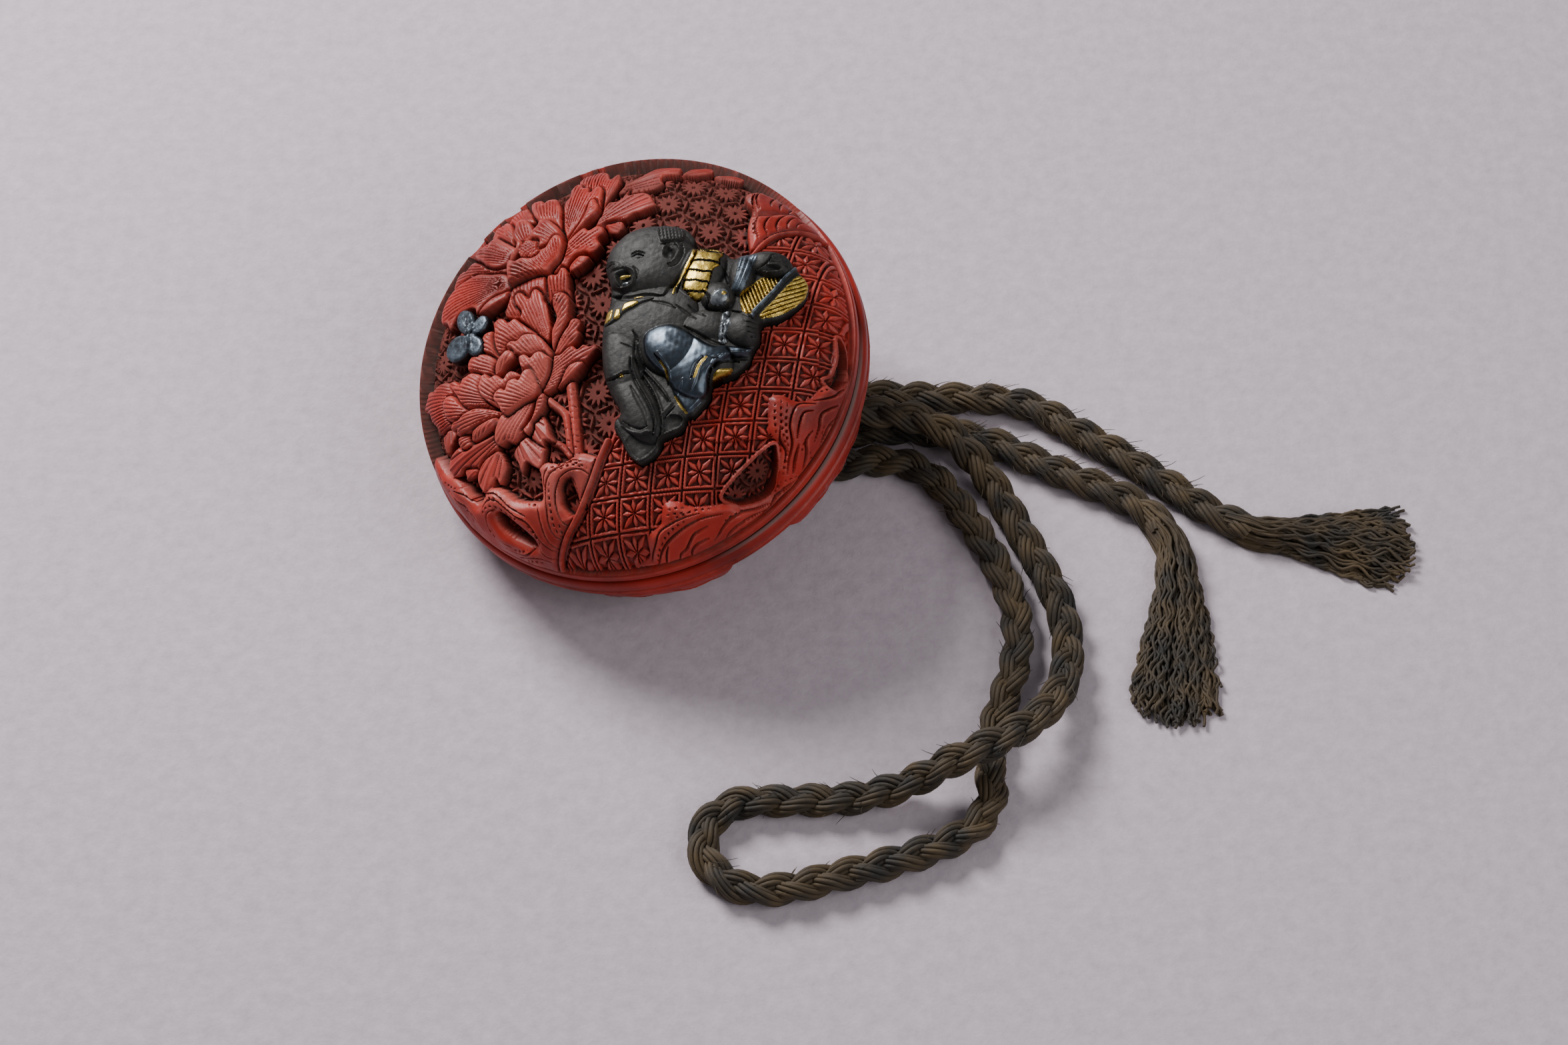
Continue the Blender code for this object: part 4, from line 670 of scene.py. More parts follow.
PEONY_LOWER = [
    ([(-21.9, -3.2), (-20.9, -2.4), (-20.5, -1.8), (-19.8, -2), (-18.7, -1.6), (-17.4, -1.9), (-16.8, -3),
      (-15.2, -3.6), (-15, -5), (-16.4, -6.5), (-18.1, -6.7), (-19.1, -7), (-19.6, -6.1), (-20.4, -5.2),
      (-20.7, -4.3), (-21.6, -3.8)], (-12, -5), -0.65),
    ([(-10, 6.4), (-9, 6.8), (-7.5, 7.1), (-6.2, 6.9), (-5.9, 5.8), (-6.1, 4.1), (-7.5, 2.2), (-9, 2.8),
      (-10.4, 3.2), (-10.8, 3.8), (-10.4, 5.1)], (-6.5, -4), -0.7),
    ([(-6.3, 6.9), (-5.8, 7.1), (-5.3, 7), (-4.9, 7.65), (-4.4, 7.5), (-4.1, 6.7), (-4, 5.1), (-3.9, 4.1),
      (-4.6, 4.5), (-5.8, 4.2), (-6.2, 4.1), (-6.3, 5.8)], (-5, -4), -0.5),
    ([(-3.9, 1.5), (-3.3, 1.7), (-2.8, 1.4), (-2.7, 0.9), (-2.95, 0.3), (-2.8, -0.1), (-3.2, -0.8),
      (-3.9, -1.3), (-4.6, -2), (-5.9, -2), (-5.8, -1), (-4.9, 0.2), (-4.1, 0.9)], (-7.8, -4.2), -0.5),
    ([(-9.8, 5.3), (-9.5, 5.8), (-9, 5.75), (-8.5, 5.2), (-8.15, 4.9), (-7.9, 5.6), (-7.4, 5.8),
      (-6.8, 5.1), (-6.5, 4.2), (-6.2, 3.7), (-6, 2.2), (-5.9, 0.8), (-6.3, -0.1), (-7.5, 1), (-8.7, 2.2),
      (-9.2, 2.8), (-9, 3.4), (-9.1, 3.9), (-9.6, 4.5)], (-4.8, -5), -0.35),
    ([(-5.7, 4.2), (-5.5, 4.75), (-4.9, 4.9), (-4.3, 4.6), (-3.9, 3.8), (-4, 2.2), (-4.6, 1), (-5.3, -0.1),
      (-5.8, -1.1), (-5.9, 0.8), (-5.3, 2.2), (-5.6, 3.2)], (-8.4, -2), -0.1),
    ([(-13.4, 1.2), (-13.1, 1.95), (-12.6, 2.2), (-12, 2.1), (-11.8, 1.2), (-11.4, -0.1), (-11, -0.8),
      (-11.6, -1.6), (-12.1, -0.9), (-12.8, -0.2), (-13.3, 0.3)], (-7, -4), -0.35),
    ([(-11.9, 2.2), (-12, 2.9), (-11.4, 3.4), (-10.8, 3.15), (-10.4, 2.7), (-9.7, 3), (-9, 2.4),
      (-8.1, 1.6), (-7.4, 0.8), (-8.7, 0.8), (-9.5, 0.5), (-10.4, 0.3), (-11, -0.7), (-11.6, -0.1),
      (-11.9, 1.2)], (-6, -2.5), -0.2),
    ([(-14.8, -0.5), (-14.3, 0), (-13.3, 0), (-12.1, -0.6), (-11.6, -1.5), (-11.8, -2.7), (-12.7, -2.7),
      (-13.6, -2.1), (-14.6, -1.8), (-14.9, -1.2)], (-8, -4), -0.3),
    ([(-5.9, -2), (-4.9, -1.9), (-4.2, -1.4), (-3.6, -1.25), (-3.1, -1.7), (-2.5, -1.3), (-1.9, -1.6),
      (-1.3, -1.5), (-0.95, -2.1), (-1.7, -2.7), (-2.4, -3.4), (-3.2, -4), (-4, -4.5), (-4.9, -4.9),
      (-5.6, -5.3), (-6.6, -5.6), (-7.5, -5), (-6.6, -3.6)], (-9, -5.4), -0.35),
    ([(-5.4, -5.3), (-4.9, -4.6), (-4.5, -3.9), (-4, -3.3), (-3.3, -3.05), (-2.7, -3.1), (-2.4, -3.4),
      (-3.2, -4.2), (-4, -4.7), (-4.75, -5.1)], (-9, -8), -0.1),
    ([(-17.3, -2.3), (-17, -2), (-16.4, -2.05), (-15.9, -2.6), (-15.6, -2.1), (-15.1, -1.9), (-14.6, -1.75),
      (-13.9, -1.95), (-13.3, -2.4), (-13.2, -3.6), (-12.8, -4.5), (-12, -5.6), (-12.7, -6.2),
      (-14.2, -5.6), (-15, -5.6), (-15.8, -4.9), (-16.2, -4), (-16.7, -3.2)], (-10, -6), -0.35),
    ([(-18.2, -4.75), (-18.3, -4), (-17.8, -3.4), (-17.2, -3.35), (-16.6, -3.8), (-16.1, -4.5),
      (-15.4, -5.2), (-14.4, -5.9), (-14.9, -6.7), (-16.1, -6.5), (-17.2, -6.2), (-17.9, -5.6)], (-10, -7),
     -0.4),
    ([(-17.3, -6.9), (-17, -6.3), (-16.3, -6.2), (-15.6, -5.8), (-14.8, -5.6), (-13.9, -5.6), (-12.6, -6),
      (-11.6, -6.4), (-10.8, -6.9), (-11.9, -7.3), (-13.3, -7.5), (-14.3, -7.8), (-15, -8.1), (-16.1, -8.2),
      (-16.6, -7.8), (-16.5, -7.2), (-17, -7.3)], (-9.5, -6.3), -0.3),
    ([(-16.5, -8.4), (-16.2, -8), (-15, -8), (-14.7, -8.7), (-15.2, -9.3), (-15.9, -9.4), (-16.4, -9)],
     (-12, -7.3), -0.45),
    ([(-15.1, -8.5), (-14.8, -7.8), (-14.2, -7.5), (-13.3, -7.3), (-12, -7.1), (-11.5, -7.5), (-12, -8.1),
      (-13.3, -8.6), (-14.5, -8.9), (-15, -8.8)], (-17, -12), -0.15),
    ([(-12, -9.7), (-12.1, -9.1), (-11.9, -8.2), (-11.3, -7.1), (-10.4, -6.4), (-9.2, -5.9), (-8.2, -5.7),
      (-7.5, -5.7), (-7.8, -6.9), (-8.4, -7.9), (-8.8, -8.7), (-8.9, -9.2), (-9.2, -9.6), (-9.9, -10.2),
      (-10.7, -9.9), (-11.4, -10.2)], (-5.5, -2), -0.3),
    ([(-8.9, -9.2), (-9.05, -8.9), (-8.5, -8.4), (-8.1, -8), (-7.8, -7.1), (-7.5, -6.1), (-6.6, -5.7),
      (-6.5, -6.5), (-6.8, -7.2), (-7.4, -7.9), (-8, -8.5), (-8.1, -9.1), (-8.5, -9.6)], (-11.5, -5.5), -0.1),
    ([(-10.5, 0.3), (-10, 0.6), (-9.4, 0.5), (-8.7, 1), (-7.5, 0.8), (-6.8, 0.2), (-6.2, -0.7),
      (-5.9, -1.6), (-6, -2.2), (-6.9, -1.4), (-7.8, -1.4), (-8.4, -1.3), (-9.8, -0.8), (-10, -0.4),
      (-10.5, -0.3)], (-5.2, -4.5), 0),
    ([(-11.8, -2.7), (-12, -2.1), (-11.7, -1.3), (-11, -0.6), (-10.4, -0.3), (-9.8, -0.7), (-9.7, -1.4),
      (-10.6, -1.9), (-11.2, -2.5)], (-12.6, -4.5), -0.1),
    ([(-13.7, -3.6), (-13.5, -2.9), (-13.3, -2.35), (-12.7, -2.35), (-12.4, -2.8), (-12, -2.7),
      (-11.6, -2.7), (-11, -3.2), (-10.6, -2.8), (-10.1, -2.6), (-9.4, -2.9), (-9.1, -3.4), (-10, -3.7),
      (-10.7, -4.3), (-11.5, -4.75), (-11.7, -5.3), (-11.5, -6.1), (-12.4, -5.5), (-13.3, -4.6)],
     (-8.6, -7.5), 0.1),
    ([(-9.2, -1.7), (-9.1, -1.25), (-8.5, -1.2), (-8, -1.65), (-7.5, -1.25), (-6.9, -1.2), (-6.4, -1.6),
      (-6, -2), (-6.1, -3), (-6.5, -4), (-7.2, -4.8), (-7.8, -4.6), (-8.1, -3.6), (-8.5, -2.9), (-9, -2.4)],
     (-4.6, -7.5), 0.3),
    ([(-12, -5.2), (-11.8, -4.55), (-11.2, -4.2), (-10.75, -4.5), (-10.4, -3.7), (-9.7, -3.5),
      (-9.25, -3.7), (-8.8, -2.95), (-8.1, -2.8), (-7.6, -3.6), (-7.4, -4.3), (-7.3, -4.9), (-7.8, -5.6),
      (-8.9, -6), (-9.8, -6.5), (-10.7, -7), (-11.2, -6.6), (-11.5, -5.9)], (-4.4, -7.8), 0.4)]
# Leaves: outline, the two ends of the midrib, and the height of the top
LEAVES = [
    ([(0.4, 16.4), (2, 18), (3.3, 19.2), (4, 20.3), (4.9, 20.7), (6, 20), (6.9, 18.9), (6.7, 18),
      (5.2, 17.9), (4.9, 17.3), (5.1, 16.6), (4.4, 16), (2.4, 15.9), (1.2, 16)], (0.8, 16.9), (7.2, 18.9),
     -0.8),
    ([(6.9, 18.2), (7.1, 19), (7.8, 19.8), (8.9, 19.9), (9.9, 19.4), (10.2, 18.7), (9.6, 18.2), (8.4, 18)],
     (7, 18.2), (10, 19.2), -0.75),
    ([(10.2, 18.6), (11.2, 19), (12.4, 18.6), (13.4, 17.8), (13, 17.2), (11.8, 17.5), (10.8, 17.8)],
     (10.4, 18.2), (13.2, 17.8), -0.75),
    ([(-1.6, 12), (-0.7, 15), (0.7, 15.1), (1.5, 16.6), (1.6, 15.6), (2.4, 15.6), (3.3, 15.5), (3.9, 15),
      (4.3, 14.1), (4.7, 13.3), (3.8, 13), (3, 12.7), (2.3, 12.6), (1.4, 12.2), (0, 12), (-0.8, 11.9)],
     (-1.4, 12.2), (4.5, 13.9), -0.6),
    ([(-0.5, 12), (0.6, 12.1), (1.3, 11.9), (1.5, 11), (1.2, 10.5), (0.7, 10.4), (0, 10.8), (-0.4, 11.5)],
     (-0.4, 12), (1.2, 10.8), -0.75),
    ([(-18.5, -10.9), (-18.4, -10), (-17.7, -9.3), (-16.4, -8.9), (-14.9, -8.9), (-13.2, -8.8), (-12, -8.5),
      (-11.8, -9.7), (-12.3, -10.8), (-13, -11.3), (-14, -11.2), (-14.7, -12), (-15.5, -11.8),
      (-16.1, -11.3), (-17.1, -11.8), (-18.2, -11.7)], (-11.9, -8.9), (-18.3, -10.8), -0.45),
    ([(-16.2, -11.4), (-14.8, -11.6), (-14.5, -12.2), (-15.9, -12.7), (-16.2, -12.2)], (-14.6, -11.5),
     (-16.1, -12.5), -0.6),
    ([(-14.7, -12.2), (-13.75, -11.1), (-12.9, -10.7), (-12, -10.5), (-11.4, -11.1), (-11.2, -12.2),
      (-11.3, -12.8), (-11.7, -13.6), (-12.2, -13.9), (-12.5, -13.2), (-13.2, -14), (-14.1, -14.3),
      (-14.8, -13.3)], (-11.7, -10.2), (-14.1, -14.1), -0.4),
    ([(-10.3, -11.2), (-9.8, -12.3), (-9.4, -13.5), (-8.9, -12.4), (-8.2, -12.8), (-7.4, -13.3),
      (-7, -12.3), (-6.8, -10.9), (-8, -9.7), (-9.4, -10)], (-9.6, -9.6), (-7.7, -13.2), -0.45),
    ([(-8.4, -9.4), (-8, -8.4), (-7.1, -7.6), (-6.5, -8.6), (-6.1, -10), (-5.7, -10.9), (-6.8, -10.6),
      (-6.9, -11.1), (-8, -10.2)], (-8, -8.2), (-5.9, -10.8), -0.4),
    ([(-19.3, -6.6), (-19, -7.6), (-18.7, -8.9), (-18, -9.4), (-17.6, -8.7), (-17, -7.8), (-17, -6.6),
      (-18, -6.2)], (-17.8, -6), (-18.2, -9.4), -0.7)]
BRANCHES = [
    ([(-4.1, -4.9), (-3.9, -7), (-3.8, -9.5), (-3.7, -12.6)], 1.05, -0.6),
    ([(-6.4, -6.3), (-5.6, -7.1), (-4.7, -8.1), (-4.45, -9.6), (-4.3, -12.3)], 0.85, -0.5),
    ([(-6.3, -10.5), (-5.2, -11.3), (-4.4, -12.4)], 0.75, -0.65),
    ([(-4.4, -14.3), (-3.9, -16), (-3.5, -17.7)], 0.7, -0.7)]
# Smooth beads along the edges of the terrace
BEADS = [
    ([(-0.4, -11.6), (-1.5, -13.6), (-2.5, -15.6), (-4.1, -18.2), (-6.1, -20.4), (-8, -22.9), (-9.6, -25.4)],
     0.62, -0.12),
    ([(14.1, 6.2), (15.3, 7.9), (16.5, 9), (18.1, 9.8), (19.9, 10.5), (22.2, 11.5), (24, 12.4)], 0.5, -0.25)]
# One rock of the back, which repeats round it, and its folds
BACK_ROCKS = 7
BACK_ROCK = [
    (25.6, -8.6), (22.2, -5.2), (20.6, -3), (19.4, -3.4), (18.4, -1), (19.6, 1.2), (19.2, 3), (21, 3.8),
    (22.6, 6.4), (25.6, 8), (26.6, 0)]
BACK_FOLDS = [
    [(24, -6.6), (22, -4), (21, -1.6), (20.4, 0.4)], [(24.4, -3.4), (22.8, -1.8), (21.8, 0.2), (21.6, 2.4)],
    [(24.6, 0.4), (23.4, 1.6), (22.8, 3.6), (23, 5.4)], [(21.4, -2.8), (20.2, -1.6), (19.8, 0)]]
RIM_BRANCH = [
    (-25.6, -3), (-24.8, 1.5), (-24.2, 6), (-23.2, 9.6), (-21.4, 13.8), (-18.4, 17.8)]

BOY_OUTLINE = [
    (-0.7, 0.3), (-0.9, -2), (-0.7, -5), (0, -7.2), (0.8, -9), (0.2, -9.7), (0.2, -10.7), (0.8, -11.8),
    (1.25, -13), (2.3, -14.2), (3.2, -14), (4.2, -13.3), (4.7, -12.2), (6, -11.75), (6.8, -11.2),
    (7.2, -10.3), (8, -10.1), (9.3, -8.7), (9.8, -7.3), (11.7, -6.6), (13.2, -5.4), (13.75, -4.1),
    (14.4, -3.1), (14.7, -1.4), (16.5, -0.8), (18.7, 1.1), (19.2, 2.7), (18.8, 3.7), (17.8, 5), (17.1, 6.1),
    (15.2, 6.5), (13.4, 6.2), (12, 6), (10.9, 6.9), (8.4, 7.5), (8.3, 8.6), (7.2, 10), (5.6, 10.3),
    (3.8, 10.6), (1.6, 10), (-0.1, 8.2), (-0.5, 6.4), (0, 4.4), (-0.1, 2.6)]
# Rounded masses of the figure: middle, half sizes, turn in degrees, how high each swells
BOY_MASSES = [
    ((3.8, 6.6), (4.5, 4), -10, 1.6), ((1.3, 5), (1.5, 1.3), 0, 1.45), ((3.6, 0), (5.2, 3.6), 10, 1.3),
    ((9, 4.6), (2.3, 3.3), -20, 1.25), ((10.6, 1.6), (1.6, 1.5), 0, 1.3),
    ((12.9, 3.9), (1.2, 2.4), -10, 1.2), ((15.4, 5), (2.2, 1.5), -15, 1.35),
    ((13.1, -2), (1.9, 1.8), 0, 1.25), ((9.4, -1.5), (2.4, 1.8), 0, 1.2), ((1.2, -3.6), (2.3, 4), 5, 1.25),
    ((6, -3.4), (3.2, 2.7), -35, 1.75), ((8.6, -5.4), (3.2, 3.4), 40, 1.35),
    ((2.4, -8.6), (2, 4.2), 25, 1.05)]
# The butterfly's wings and body: middle, half sizes, turn in degrees
WINGS = [
    ((-15.3, 4.2), (1.05, 1.55), 25), ((-13.5, 3.3), (0.8, 1.05), -30), ((-16.1, 1.4), (1.55, 1.45), 0),
    ((-14.1, 1.1), (0.95, 1.15), 20), ((-14.7, 2.6), (0.7, 0.9), 30)]
WING_ROOT = (-14.8, 2.5)


def lid_carving(x, y):
    """Peonies, rocks and a starred terrace over a hemp-leaf ground, with the pockets of the two inlays."""
    skin = Carving(x, y, LID_GROUND)
    skin.hemp_ground()
    skin.terrace(TERRACE, -0.55)
    skin.recess(HOLLOW_DEEP)
    skin.recess(HOLLOW_RIGHT)
    skin.stem(RIM_BRANCH, 1.6, -0.7)
    for points, width, top in BRANCHES:
        skin.stem(points, width, top)
    for outline, base, tip, top in LEAVES:
        skin.leaf(outline, base, tip, top)
    for outline, focus, top in PEONY_UPPER[:-2]:
        skin.petal(outline, focus, top, 0.9)
    skin.pebbled((-8.4, 10.9), 1.25, -0.15)
    for outline, focus, top in PEONY_UPPER[-2:]:
        skin.petal(outline, focus, top, 0.8)
    for outline, focus, top in PEONY_LOWER:
        skin.petal(outline, focus, top, 0.4)
    skin.rock(SLAB_UPPER, -0.45, folds=SLAB_FOLDS[:5], dashes=SLAB_DASHES[:1], seed=3.0)
    skin.rock(SLAB_LOWER, -0.25, folds=SLAB_FOLDS[5:], dashes=SLAB_DASHES[1:], seed=4.2)
    skin.rock(ROCK_LEFT, -0.05, [HOLLOW_LEFT, HOLLOW_MIDDLE], FOLDS_LEFT, DASHES_LEFT, 0.6)
    skin.rock(ROCK_RIGHT, -0.15, [HOLLOW_DEEP, HOLLOW_RIGHT], FOLDS_RIGHT, DASHES_RIGHT, 1.9)
    for points, width, top in BEADS:
        skin.stem(points, width, top, 0.0)
    skin.pocket(boy_outline())
    skin.pocket(butterfly_outline())
    lid_rim(skin)
    return skin


def lid_rim(skin):
    """The plain rim with its ring cut and rounded edge; where the rim is cut back, its wall and the low
    ground inside it get a painted shade.
    """
    inner_edge = np.interp(np.degrees(np.arctan2(skin.y, skin.x)) % 360, RIM_TURNS, RIM_INNER)
    past = skin.arc - inner_edge
    cut_back = ease(RIM_EDGE - inner_edge, 0.1, 1.2)
    band = ease(past, 0.0, 0.15)
    band = band * (1 - cut_back * ease(skin.height, -1.15, -0.95))
    low = np.maximum(ease(-skin.height, 0.8, 1.2), band)
    # Painted shade on the cut-back wall and on the low ground up to 1.5 mm inside it
    skin.shade = cut_back * low * ease(past, -1.5, -0.3) * (1 - ease(past, 0.12, 0.3))
    rounded = 0.12 * (1 - ease(past, 0.0, 0.3)) ** 2
    skin.height = skin.height * (1 - band) - (0.12 + rounded) * band
    skin.height -= 0.3 * np.exp(-((skin.arc - RIM_EDGE - 0.35) / 0.1) ** 2)
    skin.height -= 0.25 * (1 - ease(LID_DOME.length - skin.arc, 0.0, 0.3)) ** 2


def back_carving(x, y):
    """Rocks in a diapered field inside a plain band with two ring cuts, and a plain worn middle."""
    skin = Carving(x, y, BACK_GROUND)
    skin.height -= 0.16 * (1 - skin.star_lattice(skin.x, skin.y))
    for number in range(BACK_ROCKS):
        turn = number * 2 * math.pi / BACK_ROCKS + 0.3
        outline = [along_across(*place, -turn) for place in BACK_ROCK]
        folds = [[along_across(*place, -turn) for place in fold] for fold in BACK_FOLDS]
        skin.rock(outline, -0.05, (), folds, (), 1.3 * number, 0.7, 0.3)
    plain = ease(skin.arc, 16.9, 17.4)
    wear = 0.05 * unevenness(skin.x, skin.y, 9.0)
    skin.height = skin.height * plain + (wear - 0.05) * (1 - plain)
    over = skin.arc - BACK_DOME.length
    band = ease(over, -2.5, -2.42)
    bead = np.where(over < -1.42, 0.26 * ((over + 1.92) / 0.5) ** 2, 0.3 * (np.abs(over + 0.72) / 0.7) ** 3)
    skin.height = skin.height * (1 - band) - np.minimum(bead, 0.45) * band
    for place, depth, width in ((BACK_DOME.length - 1.4, 0.45, 0.13), (17.5, 0.3, 0.14)):
        skin.height -= depth * np.exp(-((skin.arc - place) / width) ** 2)
    skin.height[over > 0] = -0.3 - over[over > 0]
    return skin


def swell(x, y, masses):
    """The highest of several rounded masses, or 0 where there is none."""
    height = np.zeros(x.shape)
    for (mx, my), (half_x, half_y), degrees, top in masses:
        along, across = along_across(x - mx, y - my, math.radians(degrees))
        share = (along / half_x) ** 2 + (across / half_y) ** 2
        height = np.maximum(height, top * np.sqrt(np.clip(1 - share, 0, None)))
    return height


def boy_outline():
    """The figure's edge, where it sits in its pocket."""
    return smooth_line([(px + FIGURE_SHIFT[0], py + FIGURE_SHIFT[1]) for px, py in BOY_OUTLINE], True)


def butterfly_outline():
    """The hull of the wings, walked round their middle."""
    middle = np.array(WINGS[-1][0])
    outline = []
    for angle in np.linspace(0, 2 * math.pi, 160, endpoint=False):
        spots = middle + np.linspace(0.0, 4.5, 361)[:, None] * np.array([math.cos(angle), math.sin(angle)])
        height = swell(spots[:, 0], spots[:, 1], [wing + (1.0,) for wing in WINGS])
        outline.append(spots[np.flatnonzero(height > 0.0).max()])
    return np.array(outline)


# ---------------------------------------------------------------- the metal figure

BRONZE, GOLD, SILVER, POLISHED, STEEL = range(5)

RUFF = [
    (8.3, 7.3), (9.2, 7.15), (10.4, 7), (11, 6.7), (11, 6.2), (10.6, 5.9), (10.6, 5.2), (10, 4.8),
    (9.7, 3.7), (9.5, 2.9), (9.2, 2.2), (8.7, 1.4), (8.2, 1.6), (7.4, 2.6), (7, 3.2), (7.2, 4.3),
    (7.5, 5.3), (7.9, 6.3)]
THIGH = [
    (3.2, -2.6), (3.3, -1.4), (4.2, -0.7), (5.4, -0.5), (6.6, -0.9), (8.3, -2.2), (9.7, -3.2), (11.5, -3.5),
    (13.7, -4), (13.2, -4.6), (12.2, -4.9), (11, -4.8), (9.9, -5.2), (9.5, -6.4), (9.5, -7.7), (9, -8.6),
    (8, -9.6), (7.3, -10), (6.6, -9), (6, -7.9), (5.7, -6.9), (4.9, -5.7), (4, -4.6), (3.4, -3.6)]
FAN_RIGHT = [
    (18, 3.9), (18.8, 3.6), (19.1, 2.7), (18.7, 1.3), (17.7, 0.3), (16.5, -0.5), (15, -0.95), (14.3, -0.6),
    (15.6, 1), (17, 2.8)]
FAN_LEFT = [
    (12.5, 1.7), (12.8, 2.2), (13.7, 2.8), (14.7, 3.6), (15.9, 3.7), (16.6, 3.4), (15.7, 2.2), (14.2, 0.5),
    (13.3, -0.3), (12.7, 0.1)]


def boy_masses(x, y, depth):
    """The figure's rounded body before its features are cut."""
    edge = quarter_round(depth, 1.2)
    return 0.1 + 0.5 * edge + swell(x, y, BOY_MASSES) * edge * 0.85


def head(skin):
    """A laughing child's head with a combed tuft, an ear and an inlaid open mouth."""
    skin.bump((3.3, 4.9), (1.7, 1.5), 0, 0.16, 1.5)
    skin.bump((1.4, 3.7), (1.3, 0.7), 0, 0.14, 1.5)
    skin.bump((0.5, 6.5), (0.55, 0.5), 20, 0.2)
    skin.bump((2.9, 8.6), (1.6, 0.8), 20, 0.08)
    mouth = [(0.35, 5.6), (0.9, 5.95), (1.7, 5.95), (2.15, 5.4), (2.1, 4.8), (1.75, 4.3), (1.2, 4.15),
             (0.7, 4.6)]
    at, depth = skin.plate(mouth, None)
    skin.height[at] -= 0.45 * ease(depth, 0.0, 0.3)
    skin.bump((1.35, 5.35), (0.62, 0.26), -4, 0.3, 0.6)
    skin.bump((1.5, 4.6), (0.48, 0.26), 0, 0.24, 0.6)
    skin.plate([(0.75, 5.3), (1, 5.55), (1.8, 5.55), (1.95, 5.25), (1.3, 5.1), (0.85, 5.1)], GOLD)
    skin.plate([(1.05, 4.65), (1.5, 4.85), (1.95, 4.65), (1.7, 4.35), (1.2, 4.35)], SILVER)
    skin.draw([
        ([(5.2, 2.6), (6.2, 3.6), (7.2, 5), (8, 6.6), (8.4, 7.6)], 0.7, -0.3),
        ([(0.2, 3.3), (1.6, 2.85), (3.3, 2.85), (5, 2.6)], 0.6, -0.35),
        ([(0, 6), (0.8, 6.25), (1.6, 6.2), (2.2, 5.8), (2.45, 5.2), (2.3, 4.5), (1.8, 3.95), (1.1, 3.85),
          (0.6, 4.2)], 0.34, 0.22),
        ([(2.2, 6.2), (2.65, 5.6), (2.6, 4.7)], 0.35, -0.1),
        ([(0.6, 4.1), (1.3, 3.9), (2, 4.2)], 0.4, 0.1),
        ([(2.05, 7.55), (2.6, 7.75), (3.3, 7.5)], 0.3, 0.18),
        ([(2.1, 7.25), (2.65, 7.42), (3.25, 7.15)], 0.3, -0.26),
        ([(2.4, 6.95), (2.8, 7), (3.1, 6.9)], 0.2, -0.08),
        ([(-0.45, 6.75), (0, 7.05), (0.45, 6.95)], 0.3, 0.16),
        ([(-0.35, 6.45), (0.05, 6.75), (0.45, 6.65)], 0.3, -0.22)])
    tuft = [(4.55, 9.9), (5.2, 10.25), (6.2, 10.2), (7, 9.8), (7.35, 9.1), (7.2, 8.5), (6.5, 8.3), (5.6, 8.3),
            (4.95, 8.35), (4.7, 9)]
    at, depth = skin.plate(tuft, None, 0.32, 0.16)
    skin.combed(at, depth, 98, 0.34, 0.12, 0.4)
    skin.bump((5.6, 7.15), (0.5, 0.7), 15, -0.45, 0.9)
    skin.draw([
        ([(4.9, 8.2), (6, 8.1), (7.1, 8.35)], 0.35, -0.2),
        ([(5.2, 7.7), (5.7, 8.05), (6.4, 8), (6.75, 7.4), (6.55, 6.7), (6.1, 6.1), (5.6, 5.9)], 0.36, 0.26),
        ([(5.7, 7.55), (6.1, 7.4), (6.15, 6.9), (5.9, 6.5)], 0.24, 0.12),
        ([(7, 7.9), (7.1, 7.2), (6.9, 6.5), (6.4, 5.8), (5.7, 5.6)], 0.3, -0.14)])


def collar(skin):
    """The pleated gold ruff and the strips of the gold collar."""
    at = skin.plate(RUFF, GOLD, 0.3, 0.25)[0]
    x, y = skin.x[at], skin.y[at]
    share = ((x - 8.4) * 0.22 + (y - 1.4) * 0.97) / 1.1
    pleat = (share + 0.06 * unevenness(x, y, 2.0)) % 1.0
    skin.height[at] += 0.16 * (0.5 - pleat)
    skin.height[at] -= 0.3 * (groove(pleat - 0.03, 0.14) + groove(pleat - 1.0, 0.14))
    skin.metal[at[(pleat < 0.07) | (pleat > 0.97)]] = BRONZE
    skin.plate([(8.1, 7.4), (8.35, 7), (7.3, 4.9), (6.65, 3.5), (6.3, 2.6), (6.05, 2.5), (6.1, 2.95),
                (6.8, 4.6), (7.5, 6.1)], GOLD, 0.12, 0.1)
    skin.line([(6.55, 2.7), (7, 4.1), (7.5, 5.3), (8.3, 6.9)], 0.2, -0.3, False)
    for strip in ([(-0.6, 0.4), (-0.35, 1.5), (0.1, 1.9), (0.3, 1.8), (0.1, 0.9), (-0.2, 0.6)],
                  [(0.3, 0.8), (0.5, 1.8), (1, 1.8), (0.95, 1.2), (0.7, 0.9)],
                  [(1.1, 1.5), (1.4, 2.3), (2.3, 2.5), (2.8, 2.3), (2.3, 1.95), (1.5, 1.65)],
                  [(2, 2.95), (2.7, 3), (3.4, 2.95), (2.7, 2.8)]):
        skin.plate(strip, GOLD, 0.12, 0.12)
    skin.line([(-0.5, 0.2), (0.5, 0.7), (1.5, 1.4), (2.8, 2), (4.2, 2.4)], 0.4, -0.2)


